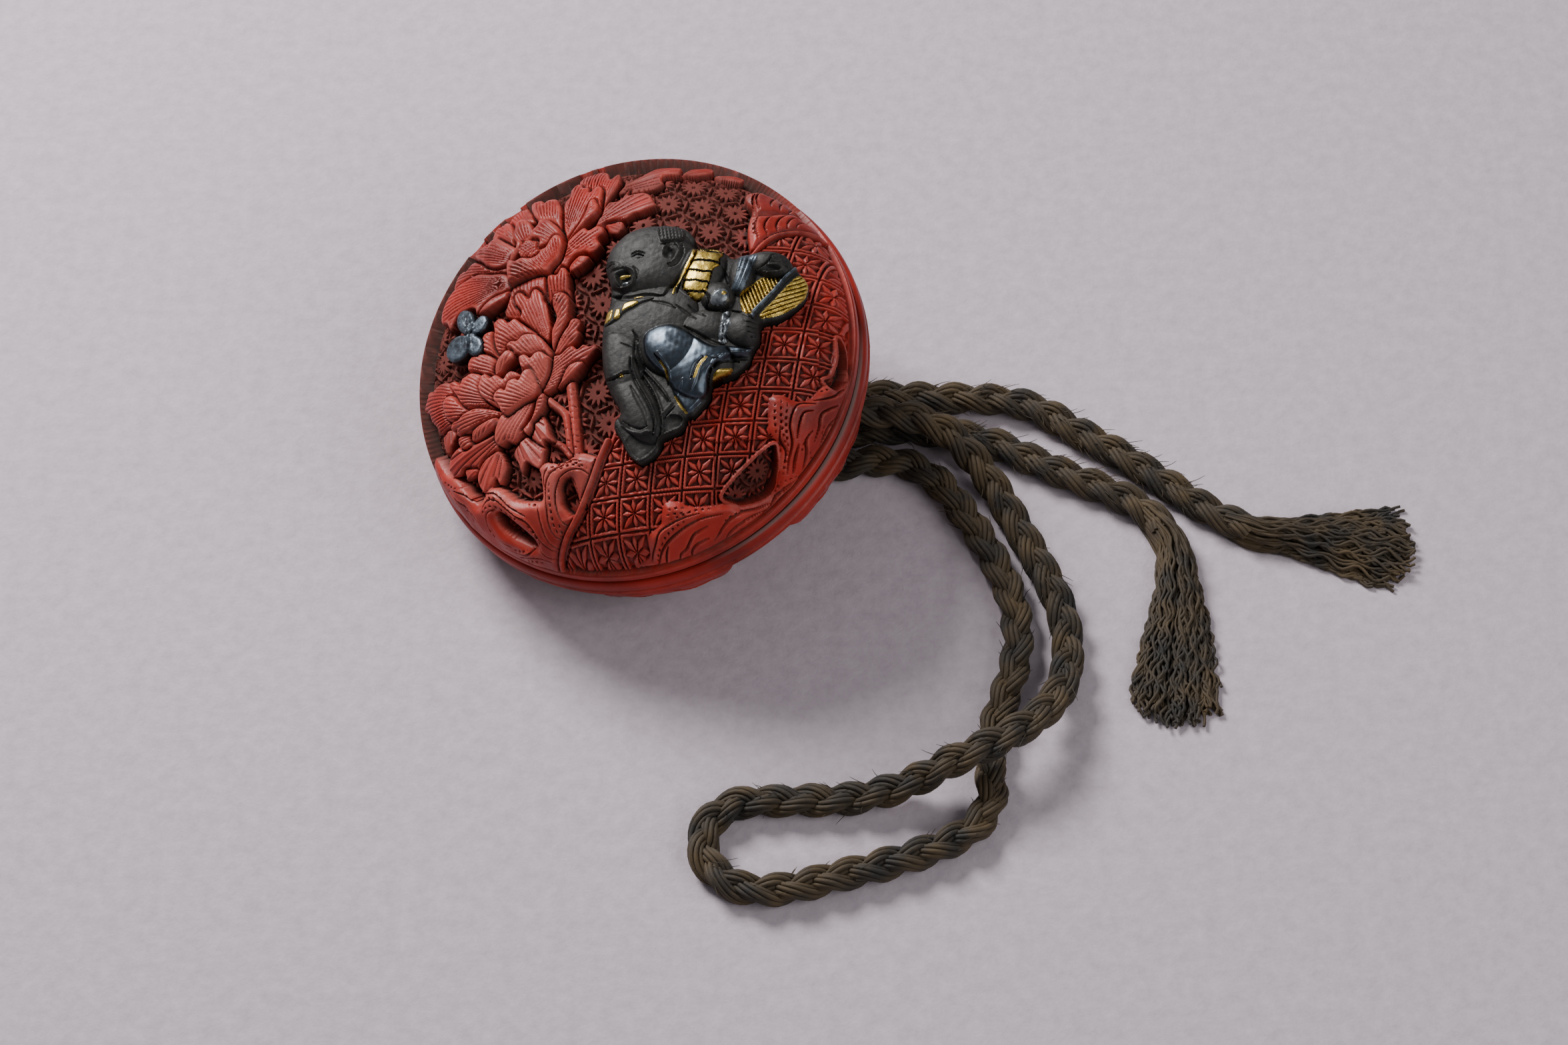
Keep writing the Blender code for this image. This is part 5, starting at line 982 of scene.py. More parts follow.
def arms(skin):
    """Sleeves, cuffs and fists round the handle of a round fan."""
    cuff = [(12.3, 5.7), (13, 6.1), (13.9, 6.1), (13.6, 4.6), (13.1, 3.1), (12.7, 2.2), (12.2, 2.1),
            (11.7, 2.4), (11.9, 3.6)]
    at, depth = skin.plate(cuff, STEEL, 0.14, 0.2)
    skin.combed(at, depth, 72, 0.45, 0.1, 0.4)
    for n in range(4):
        finger = [(14 + 0.3 * n, 4.4 + 0.34 * n), (14.9 + 0.1 * n, 5.2 + 0.28 * n), (16, 5.2 + 0.25 * n),
                  (16.9 + 0.12 * n, 4.5 + 0.2 * n)]
        skin.line(finger, 0.26, -0.15)
    skin.bump((15.35, 4.65), (0.75, 0.28), -8, -0.45, 0.7)
    skin.line([(14.5, 4.15), (15.3, 4.05), (16.3, 4.25)], 0.35, 0.16)
    for fan, heading, spacing in ((FAN_RIGHT, 22, 0.44), (FAN_LEFT, 108, 0.34)):
        at, depth = skin.plate(fan, GOLD)
        x, y = skin.x[at], skin.y[at]
        flat = 0.62 - 0.05 * (np.hypot(x - 15.9, y - 1.6) / 3.2) ** 2
        skin.level_to(at, depth, flat, 0.25)
        skin.combed(at, depth, heading, spacing, 0.26, 0.45)
    skin.line([(13.5, -0.5), (14.5, 0.6), (15.7, 2), (16.9, 3.7), (18.1, 4.8)], 0.55, 0.4, False)
    skin.plate([(13.3, -0.5), (13.6, -0.75), (14.2, -0.1), (15.2, 1.05), (16.3, 2.45), (17.3, 3.9),
                (18.3, 4.75), (17.9, 4.95), (16.9, 4.1), (15.9, 2.7), (14.9, 1.3), (13.9, 0.1)], STEEL)
    ball = [(9.6, 1.5), (9.8, 2.2), (10.5, 2.6), (11.2, 2.4), (11.5, 1.6), (11.3, 0.95), (10.5, 0.7),
            (9.85, 0.9)]
    skin.plate(ball, SILVER, 0.2, 0.3)
    skin.plate([(10.7, 1.9), (10.9, 2.2), (11.2, 2), (11, 1.75)], GOLD, 0.05, 0.1)
    skin.plate([(10.8, -0.1), (11.6, 0.1), (11.55, -0.9), (11.25, -1.9), (11.35, -3), (10.9, -3.3),
                (10.4, -2.9), (10.4, -1.8), (10.6, -0.9)], SILVER, 0.22, 0.2)
    for n in range(4):
        finger = [(12.7 + 0.1 * n, -1 - 0.55 * n), (13.5, -1.2 - 0.5 * n), (14.3, -1.5 - 0.42 * n)]
        skin.line(finger, 0.25, -0.13)
    skin.draw([
        ([(9.3, 1.3), (9.5, 0.5), (10.4, 0.3), (11.5, 0.5)], 0.35, -0.25),
        ([(9, 2.6), (9.5, 1.8), (9.4, 0.9)], 0.35, -0.25),
        ([(11.1, -0.3), (10.85, -1.6), (10.85, -3)], 0.2, -0.14),
        ([(11.8, 0.1), (12.7, -0.2), (13.5, -0.8)], 0.35, -0.22),
        ([(7.2, -1), (8.5, -2), (9.8, -2.9), (11, -3.4)], 0.4, -0.3),
        ([(7.6, 1.2), (8.2, 0.5), (9.2, -0.2)], 0.35, -0.15),
        ([(6.4, 1.4), (7.2, 0.6), (8.3, -0.4)], 0.35, -0.15),
        ([(4, 2.2), (5.6, 1.6), (6.4, 1)], 0.35, -0.15),
        ([(1, -1.8), (1.7, -2.2), (2.2, -2.5)], 0.25, -0.14),
        ([(10.9, 4.9), (11.4, 3.6), (11.6, 2.4)], 0.4, -0.2)])


def robe(skin):
    """The polished thigh, the gold boss below it, and the folds and lobes of the robe."""
    skin.plate(THIGH, POLISHED, 0.28, 0.35)
    skin.bump((6.9, -2.4), (1.9, 0.9), -32, -0.16, 1.5)
    skin.bump((11.6, -4.75), (2.2, 0.3), -8, -0.3, 0.8)
    skin.draw([
        ([(4.3, -3.5), (4.9, -4.5), (5.4, -5.5), (5.6, -6.9)], 0.34, -0.22),
        ([(4.55, -3.4), (5.15, -4.4), (5.65, -5.4), (5.85, -6.8)], 0.26, 0.14),
        ([(9.2, -4.4), (8.5, -5.1), (8.1, -6.1), (7.7, -7.7)], 0.5, 0.22),
        ([(8.8, -4.4), (8.1, -5.2), (7.6, -6.4)], 0.5, -0.15),
        ([(6.9, -6.4), (6.7, -7.4), (6.4, -8.4)], 0.4, 0.12),
        ([(9.6, -5.9), (9.8, -5), (10.7, -4.5), (12.2, -4.35), (13.4, -4.5)], 0.4, 0.2),
        ([(9.4, -7.6), (9.3, -6.2), (9.8, -5.3), (11, -4.95), (12.4, -5.3)], 0.34, -0.32)])
    for path, width in (([(4.8, -4.3), (5.3, -5.2), (5.55, -6.4)], 0.16),
                        ([(9.1, -4.5), (8.45, -5.3), (8, -6.4)], 0.2),
                        ([(6.2, -8.2), (6.7, -9.2), (7.2, -9.9)], 0.22)):
        route = smooth_line(path)
        at = skin.near(route, 1.0)
        gap = distance_to(skin.x[at], skin.y[at], route, False)[0]
        skin.metal[at[gap < width / 2]] = GOLD
    skin.plate([(9.75, -7.2), (9.8, -6.2), (10.3, -5.7), (11.3, -5.7), (11.8, -6), (11.2, -6.8), (10.4, -7.6),
                (9.9, -7.7)], GOLD, 0.3, 0.4)
    folds = ([(2.1, -3.4), (2.2, -4.6), (2.6, -6), (3.3, -7.4), (3.9, -8.8), (4.2, -10.2), (4, -11.4)],
             [(2.6, -3.6), (3.2, -5.4), (4.2, -7.3), (4.7, -8.8), (4.9, -10.2), (4.7, -11.8)],
             [(2.6, -1.6), (2.6, -3.2), (3.1, -4.7), (4, -5.9), (5, -7.3), (5.7, -8.5)])
    for fold in folds:
        skin.line([(px - 0.24, py - 0.04) for px, py in fold], 0.32, -0.18)
        skin.line(fold, 0.34, 0.18)
    skin.draw([
        ([(2.2, -0.7), (2.6, -1.7), (2.4, -2.7)], 0.4, -0.2),
        ([(1.9, -6.4), (2.5, -7.8), (3.1, -9.2), (3.2, -10.4)], 0.5, -0.14),
        ([(-0.8, -5.7), (0.3, -5.4), (1.2, -5.05), (1.9, -5.1)], 0.26, -0.22),
        ([(-0.8, -5.45), (0.3, -5.15), (1.2, -4.8), (1.9, -4.85)], 0.26, 0.16),
        ([(5.9, -8.7), (5.2, -9.4), (4.8, -9.9)], 0.4, 0.2),
        ([(6.1, -9.1), (5.4, -9.7), (5, -10.2)], 0.3, -0.2)])
    skin.plate([(0.6, -5.35), (0.9, -5), (1.25, -5), (1.25, -5.3), (0.9, -5.45)], GOLD, 0.08, 0.1)
    skin.bump((2.7, -12.5), (1.7, 1.5), 0, -0.26, 0.6)
    skin.bump((5.9, -10.7), (1.1, 0.7), -10, -0.22, 0.6)
    skin.draw([
        ([(0.35, -10.3), (0.75, -11.3), (1.15, -12.4), (1.6, -13.4), (2.3, -13.9), (3.2, -13.6),
          (4.1, -12.8), (4.5, -11.9), (5.4, -11.6), (6.5, -11.2), (6.9, -10.5), (6.5, -10), (5.6, -9.9)],
         0.34, 0.24),
        ([(0.9, -10.3), (1.6, -10.9), (2.5, -11.2), (3.4, -11.1), (4, -11.4)], 0.4, 0.18),
        ([(1, -9.8), (1.8, -10.4), (2.6, -10.7), (3.3, -10.5)], 0.3, -0.18),
        ([(2.3, -11.6), (2.7, -11.3), (3.1, -11.6)], 0.25, 0.12)])


def boy_relief(x, y):
    """The boy's height over the dome, with his features moved by the height on which each one lies."""
    skin = Carving(x, y, 0.0)
    depth = np.clip(skin.depth(np.arange(len(skin.x)), boy_outline()), 0, None)
    skin.height[:] = boy_masses(skin.x - FIGURE_SHIFT[0], skin.y - FIGURE_SHIFT[1], depth)
    risen = skin.height.copy()
    skin.x = skin.x - FEATURE_SHIFT[0] - SIGHT[0] / SIGHT[2] * risen
    skin.y = skin.y - FEATURE_SHIFT[1] - SIGHT[1] / SIGHT[2] * risen
    head(skin)
    collar(skin)
    arms(skin)
    robe(skin)
    skin.height += 0.01 * unevenness(skin.x, skin.y, 0.9) + 0.02 * unevenness(skin.x, skin.y, 2.6, 1.0)
    skin.height = 0.05 + np.maximum(skin.height - 0.05, 0.15) * (0.35 + 0.65 * quarter_round(depth, 0.22))
    return skin


def butterfly_relief(x, y):
    """Cupped and veined wings, a body and its feelers."""
    skin = Carving(x, y, 0.0)
    depth = np.clip(skin.depth(np.arange(len(skin.x)), butterfly_outline()), 0, None)
    skin.height[:] = -0.4 + 0.32 * quarter_round(depth, 0.4)
    skin.metal[:] = STEEL
    for (mx, my), (half_x, half_y), degrees in WINGS[:4]:
        skin.bump((mx, my), (half_x, half_y), degrees, 0.2, 0.2)
        skin.bump((mx, my), (half_x * 0.84, half_y * 0.84), degrees, -0.08, 0.3)
        for turn in (-0.5, 0.0, 0.5):
            way = math.atan2(my - WING_ROOT[1], mx - WING_ROOT[0]) + turn
            tip = (mx + 0.5 * half_x * math.cos(way), my + 0.5 * half_y * math.sin(way))
            root = (0.55 * mx + 0.45 * WING_ROOT[0], 0.55 * my + 0.45 * WING_ROOT[1])
            skin.line([root, tip], 0.16, -0.06)
    skin.draw([
        ([(-15.6, 2.7), (-14.9, 2.6), (-14.2, 2.9)], 0.4, -0.15),
        ([(-15.1, 3.4), (-14.8, 2.4), (-14.65, 0.8)], 0.5, 0.25),
        ([(-14.9, 3.3), (-14.6, 4), (-14.2, 4.6)], 0.14, 0.12)])
    for spot in ((-14.75, 5.0), (-14.6, 4.5), (-14.55, 4.0)):
        skin.bump(spot, (0.2, 0.2), 0, 0.14)
    return skin


# ---------------------------------------------------------------- meshes

def deselect_all():
    if bpy.context.object and bpy.context.object.mode != "OBJECT":
        bpy.ops.object.mode_set(mode="OBJECT")
    bpy.ops.object.select_all(action="DESELECT")


def pick(item):
    """Make one object the only one selected, and the active one."""
    deselect_all()
    item.select_set(True)
    bpy.context.view_layer.objects.active = item


def places_of(item):
    places = np.empty(len(item.data.vertices) * 3)
    item.data.vertices.foreach_get("co", places)
    return places.reshape(-1, 3)


def move_to(item, places):
    """Give every vertex its place."""
    item.data.vertices.foreach_set("co", np.ascontiguousarray(places, dtype=float).ravel())
    item.data.update()


def add_sheet(name, columns, rows):
    """A flat grid, with the table of its vertices by column and row."""
    deselect_all()
    bpy.ops.mesh.primitive_grid_add(x_subdivisions=columns, y_subdivisions=rows, size=2)
    item = bpy.context.object
    item.name = name
    item.data.name = name
    flat = (places_of(item)[:, :2] + 1) / 2 * (columns, rows)
    table = np.full((columns + 1, rows + 1), -1)
    table[tuple(np.rint(flat).astype(int).T)] = np.arange(len(flat))
    if table.min() < 0 or len(flat) != table.size:
        raise RuntimeError(f"{name}: the grid has {len(flat)} vertices, not {table.size}")
    return item, table


def bent_sheet(name, points, matrix):
    """A grid whose vertices take these places on the bun, and stay above the table."""
    item, table = add_sheet(name, points.shape[0] - 1, points.shape[1] - 1)
    places = np.empty((table.size, 3))
    places[table.ravel()] = points.reshape(-1, 3)
    places = posed(places, matrix)
    places[:, 2] = np.maximum(places[:, 2], 0.0)
    move_to(item, places)
    return item, table


def border_of(table):
    """The vertices round a grid's border, in order."""
    return np.concatenate([table[:-1, 0], table[-1, :-1], table[:0:-1, -1], table[0, :0:-1]])


def join_into(item, other):
    pick(item)
    other.select_set(True)
    bpy.ops.object.join()


def close_between(item, fine, coarse):
    """Wall faces between a fine border and a coarse one, so many fine edges to each coarse edge."""
    ratio = len(fine) // len(coarse)
    shape = bmesh.new()
    shape.from_mesh(item.data)
    shape.verts.ensure_lookup_table()
    for j in range(len(coarse)):
        along = [int(fine[(j * ratio + k) % len(fine)]) for k in range(ratio + 1)]
        corners = along + [int(coarse[(j + 1) % len(coarse)]), int(coarse[j])]
        shape.faces.new([shape.verts[i] for i in corners])
    shape.to_mesh(item.data)
    shape.free()


def turn_outwards(item):
    pick(item)
    bpy.ops.object.mode_set(mode="EDIT")
    bpy.ops.mesh.select_all(action="SELECT")
    bpy.ops.mesh.normals_make_consistent(inside=False)
    bpy.ops.object.mode_set(mode="OBJECT")


def smooth_shaded(item, degrees):
    pick(item)
    bpy.ops.object.shade_smooth_by_angle(angle=math.radians(degrees))


def set_tone(item, name, values, others=0.0):
    """A number at every vertex, which the materials read; the vertices past the given ones share one."""
    layer = item.data.attributes.new(name, "FLOAT", "POINT")
    full = np.full(len(item.data.vertices), others, np.float32)
    full[:len(values)] = values
    layer.data.foreach_set("value", full)


def blurred(grid, radius):
    """Mean over a square of cells round each cell."""
    for axis in (0, 1):
        pad = [(radius + 1, radius) if k == axis else (0, 0) for k in (0, 1)]
        total = np.cumsum(np.pad(grid, pad, mode="edge"), axis=axis)
        size = grid.shape[axis]
        high = np.take(total, np.arange(2 * radius + 1, 2 * radius + 1 + size), axis=axis)
        low = np.take(total, np.arange(size), axis=axis)
        grid = (high - low) / (2 * radius + 1)
    return grid


def carved_tones(height, cell):
    """Where dirt and painted shade gather in the cuts, where edges are rubbed and get a painted highlight,
    and how deep each spot lies.
    """
    near = blurred(height, max(1, round(0.3 / cell)))
    wide = blurred(height, max(2, round(0.9 / cell)))
    return {"hollow": np.clip((near - height) / 0.22, 0, 1), "crest": np.clip((height - near) / 0.12, 0, 1),
            "deep": ease(-wide, 0.75, 1.7)}


def disc_spots(steps, turn=0):
    """A square of cells laid over a disc in equal rings: the share of the radius, and the angle."""
    p, q = np.meshgrid(steps, steps, indexing="ij")
    c, s = round(math.cos(turn * math.pi / 2)), round(math.sin(turn * math.pi / 2))
    u, v = p * c - q * s, p * s + q * c
    ring = np.maximum(np.abs(u), np.abs(v))
    wide = np.abs(u) >= np.abs(v)
    safe_u = np.where(wide & (u != 0), u, 1.0)
    safe_v = np.where(~wide, v, 1.0)
    angle = np.where(wide, math.pi / 4 * v / safe_u, math.pi / 2 - math.pi / 4 * u / safe_v)
    angle = angle + np.where(np.where(wide, u, v) < 0, math.pi, 0.0)
    return ring, angle


def seat_matrix():
    """The bun's lean, and the height at which its lowest place is worn flat by the table."""
    below = np.max(BACK_DOME.r * math.sin(LEAN) + BACK_DOME.z * math.cos(LEAN))
    return Matrix.Translation(Vector((*BUN_PLACE, below - REST_CUT))) @ Matrix.Rotation(LEAN, 4, LEAN_AXIS)


def lid_matrix():
    """The lid turned a little about the low side of the seam, so that the high side gapes."""
    low_side = LEAN_WAY * LID_RADIUS
    skew = Matrix.Rotation(LID_SKEW, 4, LEAN_AXIS)
    skew = Matrix.Translation(low_side) @ skew @ Matrix.Translation(-low_side)
    return seat_matrix() @ Matrix.Translation((0, 0, SEAM_GAP)) @ skew


def posed(points, matrix):
    """Places in millimetres on the bun turned into places in metres on the table."""
    turn = np.array(matrix.to_3x3())
    return (points @ turn.T + np.array(matrix.translation)) * MM


def lining_points(steps, turn, rings, rim, start, up):
    """The smooth inside of a bowl, from its middle out to the rim's corners: radius and height of each."""
    top = np.interp(-start, -INNER_DOME.z, INNER_DOME.arc) if start else INNER_DOME.length
    r, z = INNER_DOME.at(np.linspace(0.0, top, rings - len(rim) + 1))
    r = np.concatenate([r, [corner[0] for corner in rim]])
    z = np.concatenate([z, [corner[1] for corner in rim]])
    share, angle = disc_spots(steps, turn)
    ring = np.rint(share * rings).astype(int)
    return np.stack([r[ring] * np.cos(angle), r[ring] * np.sin(angle), up * z[ring]], -1)


def make_bowl(name, skin, lining, tones, matrix):
    """A bowl from its carved skin and its lining, with walls between their borders and its tones."""
    item, table = bent_sheet(name, skin, matrix)
    inner, inner_table = bent_sheet(name + "_lining", lining, matrix)
    join_into(item, inner)
    close_between(item, border_of(table), border_of(inner_table) + table.size)
    turn_outwards(item)
    for label, values in tones.items():
        tone = np.zeros(table.size)
        tone[table.ravel()] = values.ravel()
        set_tone(item, label, tone, label == "black")
    return item


def make_lid_quarter(turn, cells, inner_cells):
    """A quarter of the lid: its carved skin, its smooth inside, and the walls between them."""
    margin = 12
    share, angle = disc_spots(np.arange(-margin, cells + 1) / cells, turn)
    x, y = share * LID_DOME.length * np.cos(angle), share * LID_DOME.length * np.sin(angle)
    carved = lid_carving(x, y)
    height = carved.height.reshape(x.shape)
    tones = carved_tones(height, 1.55 * LID_DOME.length / 2 / cells)
    # The rim's painted shade darkens its wall and recess through the dirt and deep-ground tones, and takes
    # the rubbed highlight off them
    shade = carved.shade.reshape(x.shape)
    tones["hollow"] = np.maximum(tones["hollow"], 0.6 * shade)
    tones["deep"] = np.maximum(tones["deep"], shade)
    tones["crest"] *= 1 - shade
    # Pale patches on petals and rocks: dust, with a painted highlight
    tones["worn"] = np.clip(sum(np.exp(-((x - px) / half_x) ** 2 - ((y - py) / half_y) ** 2)
                                for px, py, half_x, half_y in DUST_AND_HIGHLIGHT_PATCHES), 0, 1)
    # Where the colour of the dirt and painted shade in the cuts turns paler, towards the lower left
    tones["dusted"] = np.clip((4 - x - 0.5 * y) / 4, 0, 1) * ease(height, -0.9, -0.3) * (1 - tones["deep"])
    tones["black"] = np.zeros(x.shape)
    inside = (slice(margin, None), slice(margin, None))
    skin = LID_DOME.point(x[inside], y[inside], height[inside])

    wall = INNER_RADIUS * (1 - (LIP_HEIGHT / INNER_HEIGHT) ** SQUARENESS) ** (1 / SQUARENESS)
    step = LIP_HEIGHT + LIP_PLAY
    rim = [(wall, step), (LIP_RADIUS + LIP_PLAY, step), (LIP_RADIUS + LIP_PLAY, 0.0)]
    steps = np.arange(inner_cells + 1) / inner_cells
    lining = lining_points(steps, turn, inner_cells, rim, step + 0.4, 1)
    tones = {label: values[inside] for label, values in tones.items()}
    item = make_bowl(f"lid_carving_{turn + 1}", skin, lining, tones, lid_matrix())
    smooth_shaded(item, 62)
    return item


def make_back(cells, inner_cells):
    """The lower bowl, with its carved skin, its lip's seat and the two holes for the cord."""
    share, angle = disc_spots(np.linspace(-1.0, 1.0, cells + 1))
    arc = (BACK_DOME.length + SEAM_FACE) * share * (1.5 - 0.5 * share)
    x, y = arc * np.cos(angle), arc * np.sin(angle)
    height = back_carving(x, y).height.reshape(x.shape)
    tones = carved_tones(height, BACK_DOME.length * 2 / cells)
    over = arc - BACK_DOME.length
    tones["black"] = ease(over, 0.3, 0.4)
    # The bare edge of the seam on one side: worn, and given a painted reflection
    tones["bare_and_reflection"] = ease(over, -0.02, 0.05) * (1 - tones["black"]) * ease(np.cos(angle + 0.6), 0.75, 0.95)
    tones["hollow"][over > -0.6] = 0
    tones["crest"][over > -0.6] *= 0.3
    tones["deep"][over > -2.4] = 0
    skin = BACK_DOME.point(x, y, height) * (1, 1, -1)
    steps = np.linspace(-1.0, 1.0, inner_cells + 1)
    lining = lining_points(steps, 0, inner_cells // 2, [(LIP_RADIUS, 0.0)], 0.0, -1)
    item = make_bowl("back_carving", skin, lining, tones, seat_matrix())
    for side in (1, -1):
        drill_hole(item, side)
    smooth_shaded(item, 62)
    return item


def drill_hole(item, side):
    """Cut one of the two slanting holes that the cord goes through."""
    level = Vector((LEAN_WAY.y, -LEAN_WAY.x, 0))
    place = seat_matrix() @ Vector((0, 0, -HALF_HEIGHT)) + side * HOLE_SPREAD * level - HOLE_UPHILL * LEAN_WAY
    raised = 1.5
    place += Vector((-raised * math.tan(HOLE_SLANT), 0, raised))
    deselect_all()
    bpy.ops.mesh.primitive_cylinder_add(vertices=96, radius=HOLE_RADIUS * MM, depth=16 * MM,
                                        location=place * MM, rotation=(0, -HOLE_SLANT, 0))
    drill = bpy.context.object
    pick(item)
    cut = item.modifiers.new("Drill", "BOOLEAN")
    cut.operation = "DIFFERENCE"
    cut.solver = "MANIFOLD"
    cut.object = drill
    bpy.ops.object.modifier_apply(modifier=cut.name)
    bpy.data.objects.remove(drill, do_unlink=True)


def make_lip():
    """The lip that stands up inside the seam, which the lid closes over."""
    deselect_all()
    bpy.ops.mesh.primitive_cylinder_add(vertices=192, radius=LIP_RADIUS * MM, depth=LIP_HEIGHT * MM,
                                        end_fill_type="NOTHING", location=(0, 0, LIP_HEIGHT / 2 * MM))
    item = bpy.context.object
    item.name = "seam_lip"
    bpy.ops.object.transform_apply(location=True, rotation=True, scale=True)
    bpy.ops.object.mode_set(mode="EDIT")
    bpy.ops.mesh.select_all(action="SELECT")
    bpy.ops.mesh.solidify(thickness=(LIP_RADIUS - INNER_RADIUS) * MM)
    bpy.ops.mesh.select_all(action="SELECT")
    bpy.ops.mesh.bevel(offset=0.12 * MM, segments=2, affect="EDGES", clamp_overlap=True)
    bpy.ops.object.mode_set(mode="OBJECT")
    move_to(item, posed(places_of(item) / MM + (0, 0, -0.02), seat_matrix()))
    turn_outwards(item)
    smooth_shaded(item, 40)
    return item


def make_inlay(name, outline, relief, cell):
    """A modelled plate cut to its outline: a fine skin, and walls down to a plain foot in its pocket."""
    low, high = outline.min(axis=0) - cell, outline.max(axis=0) + cell
    columns, rows = np.ceil((high - low) / cell).astype(int)
    item, table = add_sheet(name, int(columns), int(rows))
    across, up = np.meshgrid(np.arange(columns + 1), np.arange(rows + 1), indexing="ij")
    flat = np.zeros((table.size, 3))
    flat[table.ravel(), 0] = (low[0] + across * cell).ravel()
    flat[table.ravel(), 1] = (low[1] + up * cell).ravel()
    move_to(item, flat)
    trim_to(item, outline, cell)
    bpy.ops.object.mode_set(mode="EDIT")
    bpy.ops.mesh.extrude_edges_move(TRANSFORM_OT_translate={"value": (0, 0, -1)})
    bpy.ops.mesh.select_all(action="SELECT")
    bpy.ops.mesh.fill_holes(sides=0)
    bpy.ops.object.mode_set(mode="OBJECT")
    flat = places_of(item)
    skin = relief(flat[:, 0], flat[:, 1])
    foot = flat[:, 2] < -0.5
    height = np.where(foot, -INLAY_FOOT, skin.height)
    move_to(item, posed(LID_DOME.point(flat[:, 0], flat[:, 1], height), lid_matrix()))
    turn_outwards(item)
    smooth_shaded(item, 50)
    faces = item.data.polygons
    corners = np.empty(len(item.data.loops), int)
    item.data.loops.foreach_get("vertex_index", corners)
    starts = np.empty(len(faces), int)
    faces.foreach_get("loop_start", starts)
    metals = np.where(foot, -1, skin.metal)[corners]
    shares = [np.add.reduceat(metals == metal, starts) for metal in range(STEEL + 1)]
    faces.foreach_set("material_index", np.argmax(shares, axis=0).astype(np.int32))
    set_tone(item, "hollow", inlay_hollows(flat, height, low, cell, table.shape))
    return item


def trim_to(item, outline, cell):
    """Delete a flat grid's faces outside an outline, and draw its new border, left selected, onto it."""
    centres = np.empty(len(item.data.polygons) * 3)
    item.data.polygons.foreach_get("center", centres)
    centres = centres.reshape(-1, 3)
    inside = distance_to(centres[:, 0], centres[:, 1], outline, True)[1]
    pick(item)
    bpy.ops.object.mode_set(mode="EDIT")
    bpy.ops.mesh.select_mode(type="FACE")
    bpy.ops.mesh.select_all(action="DESELECT")
    bpy.ops.object.mode_set(mode="OBJECT")
    item.data.polygons.foreach_set("select", ~inside)
    bpy.ops.object.mode_set(mode="EDIT")
    bpy.ops.mesh.delete(type="FACE")
    bpy.ops.mesh.select_mode(type="EDGE")
    bpy.ops.mesh.select_non_manifold()
    bpy.ops.object.mode_set(mode="OBJECT")
    border = np.zeros(len(item.data.vertices), bool)
    item.data.vertices.foreach_get("select", border)
    flat = places_of(item)
    fine = evenly_spaced(np.vstack([outline, outline[:1]]), cell / 4)
    for i in np.flatnonzero(border):
        flat[i, :2] = fine[np.argmin(np.hypot(*(fine - flat[i, :2]).T))]
    move_to(item, flat)


def inlay_hollows(flat, height, low, cell, shape):
    """How far each spot of an inlay lies below what is round it."""
    spots = np.rint((flat[:, :2] - low) / cell).astype(int)
    column, row = np.clip(spots, 0, np.array(shape) - 1).T
    grid = np.zeros(shape)
    known = np.zeros(shape)
    top = flat[:, 2] > -0.5
    grid[column[top], row[top]] = height[top]
    known[column[top], row[top]] = 1.0
    mean = blurred(grid, 4) / np.maximum(blurred(known, 4), 0.05)
    return np.where(top, np.clip((mean[column, row] - height) / 0.2, 0, 1), 1.0)


# ---------------------------------------------------------------- cord

def route_of(points):
    """A cord's centre line in fine steps, never below where it lies on the table."""
    route = evenly_spaced(smooth_line(points, False, 12), 0.1)
    route[:, 2] = np.maximum(route[:, 2], LOW)
    return route


def frames_along(line):
    """Heading, sideways and upward directions along a line."""
    heading = np.gradient(line, axis=0)
    heading /= np.linalg.norm(heading, axis=1, keepdims=True)
    side = np.cross((0.0, 0.0, 1.0), heading)
    side /= np.linalg.norm(side, axis=1, keepdims=True)
    return heading, side, np.cross(heading, side)


def make_threads(name, lines, radius):
    """Round threads along lines in millimetres; each line may have its own thickness at each point."""
    curve = bpy.data.curves.new(name, "CURVE")
    curve.dimensions = "3D"
    curve.bevel_depth = radius * MM
    curve.bevel_resolution = 1
    curve.use_fill_caps = True
    for line, thickness in lines:
        spline = curve.splines.new("POLY")
        spline.points.add(len(line) - 1)
        spline.points.foreach_set("co", np.column_stack([line * MM, np.ones(len(line))]).ravel())
        spline.points.foreach_set("radius", np.broadcast_to(thickness, len(line)).astype(float))
    item = bpy.data.objects.new(name, curve)
    bpy.context.scene.collection.objects.link(item)
    pick(item)
    bpy.ops.object.convert(target="MESH")
    item = bpy.context.object
    counts = [len(line) for line, _ in lines]
    around = len(item.data.vertices) / sum(counts)
    if around == int(around):
        shade = np.random.default_rng(len(counts)).random(len(counts))
        set_tone(item, "strand", np.repeat(shade, np.array(counts) * int(around)))
    smooth_shaded(item, 70)
    return item


def braid(route, cord, pitch, threads, step):
    """Threads of a plait of three strands, lowered so that it lies on the table."""
    thick = cord / 3.3
    line = evenly_spaced(route, step)
    _, side, up = frames_along(line)
    along = np.arange(len(line)) * step
    out = []
    for strand in range(3):
        phase = 2 * math.pi * (along / pitch + strand / 3)
        swing, lift = 0.8 * thick * np.sin(phase), 0.52 * thick * np.sin(2 * phase)
        centre = line + side * swing[:, None] + up * lift[:, None]
        _, strand_side, strand_up = frames_along(centre)
        for thread in range(threads):
            angle = 2 * math.pi * (thread / threads + along / 14.0)
            reach = 0.6 * thick * (1 + 0.05 * np.sin(2 * phase + thread))
            across, rise = reach * np.cos(angle), reach * np.sin(angle)
            offset = strand_side * across[:, None] + strand_up * rise[:, None]
            out.append((centre + offset - BRAID_DROP, 1.0))
    return out


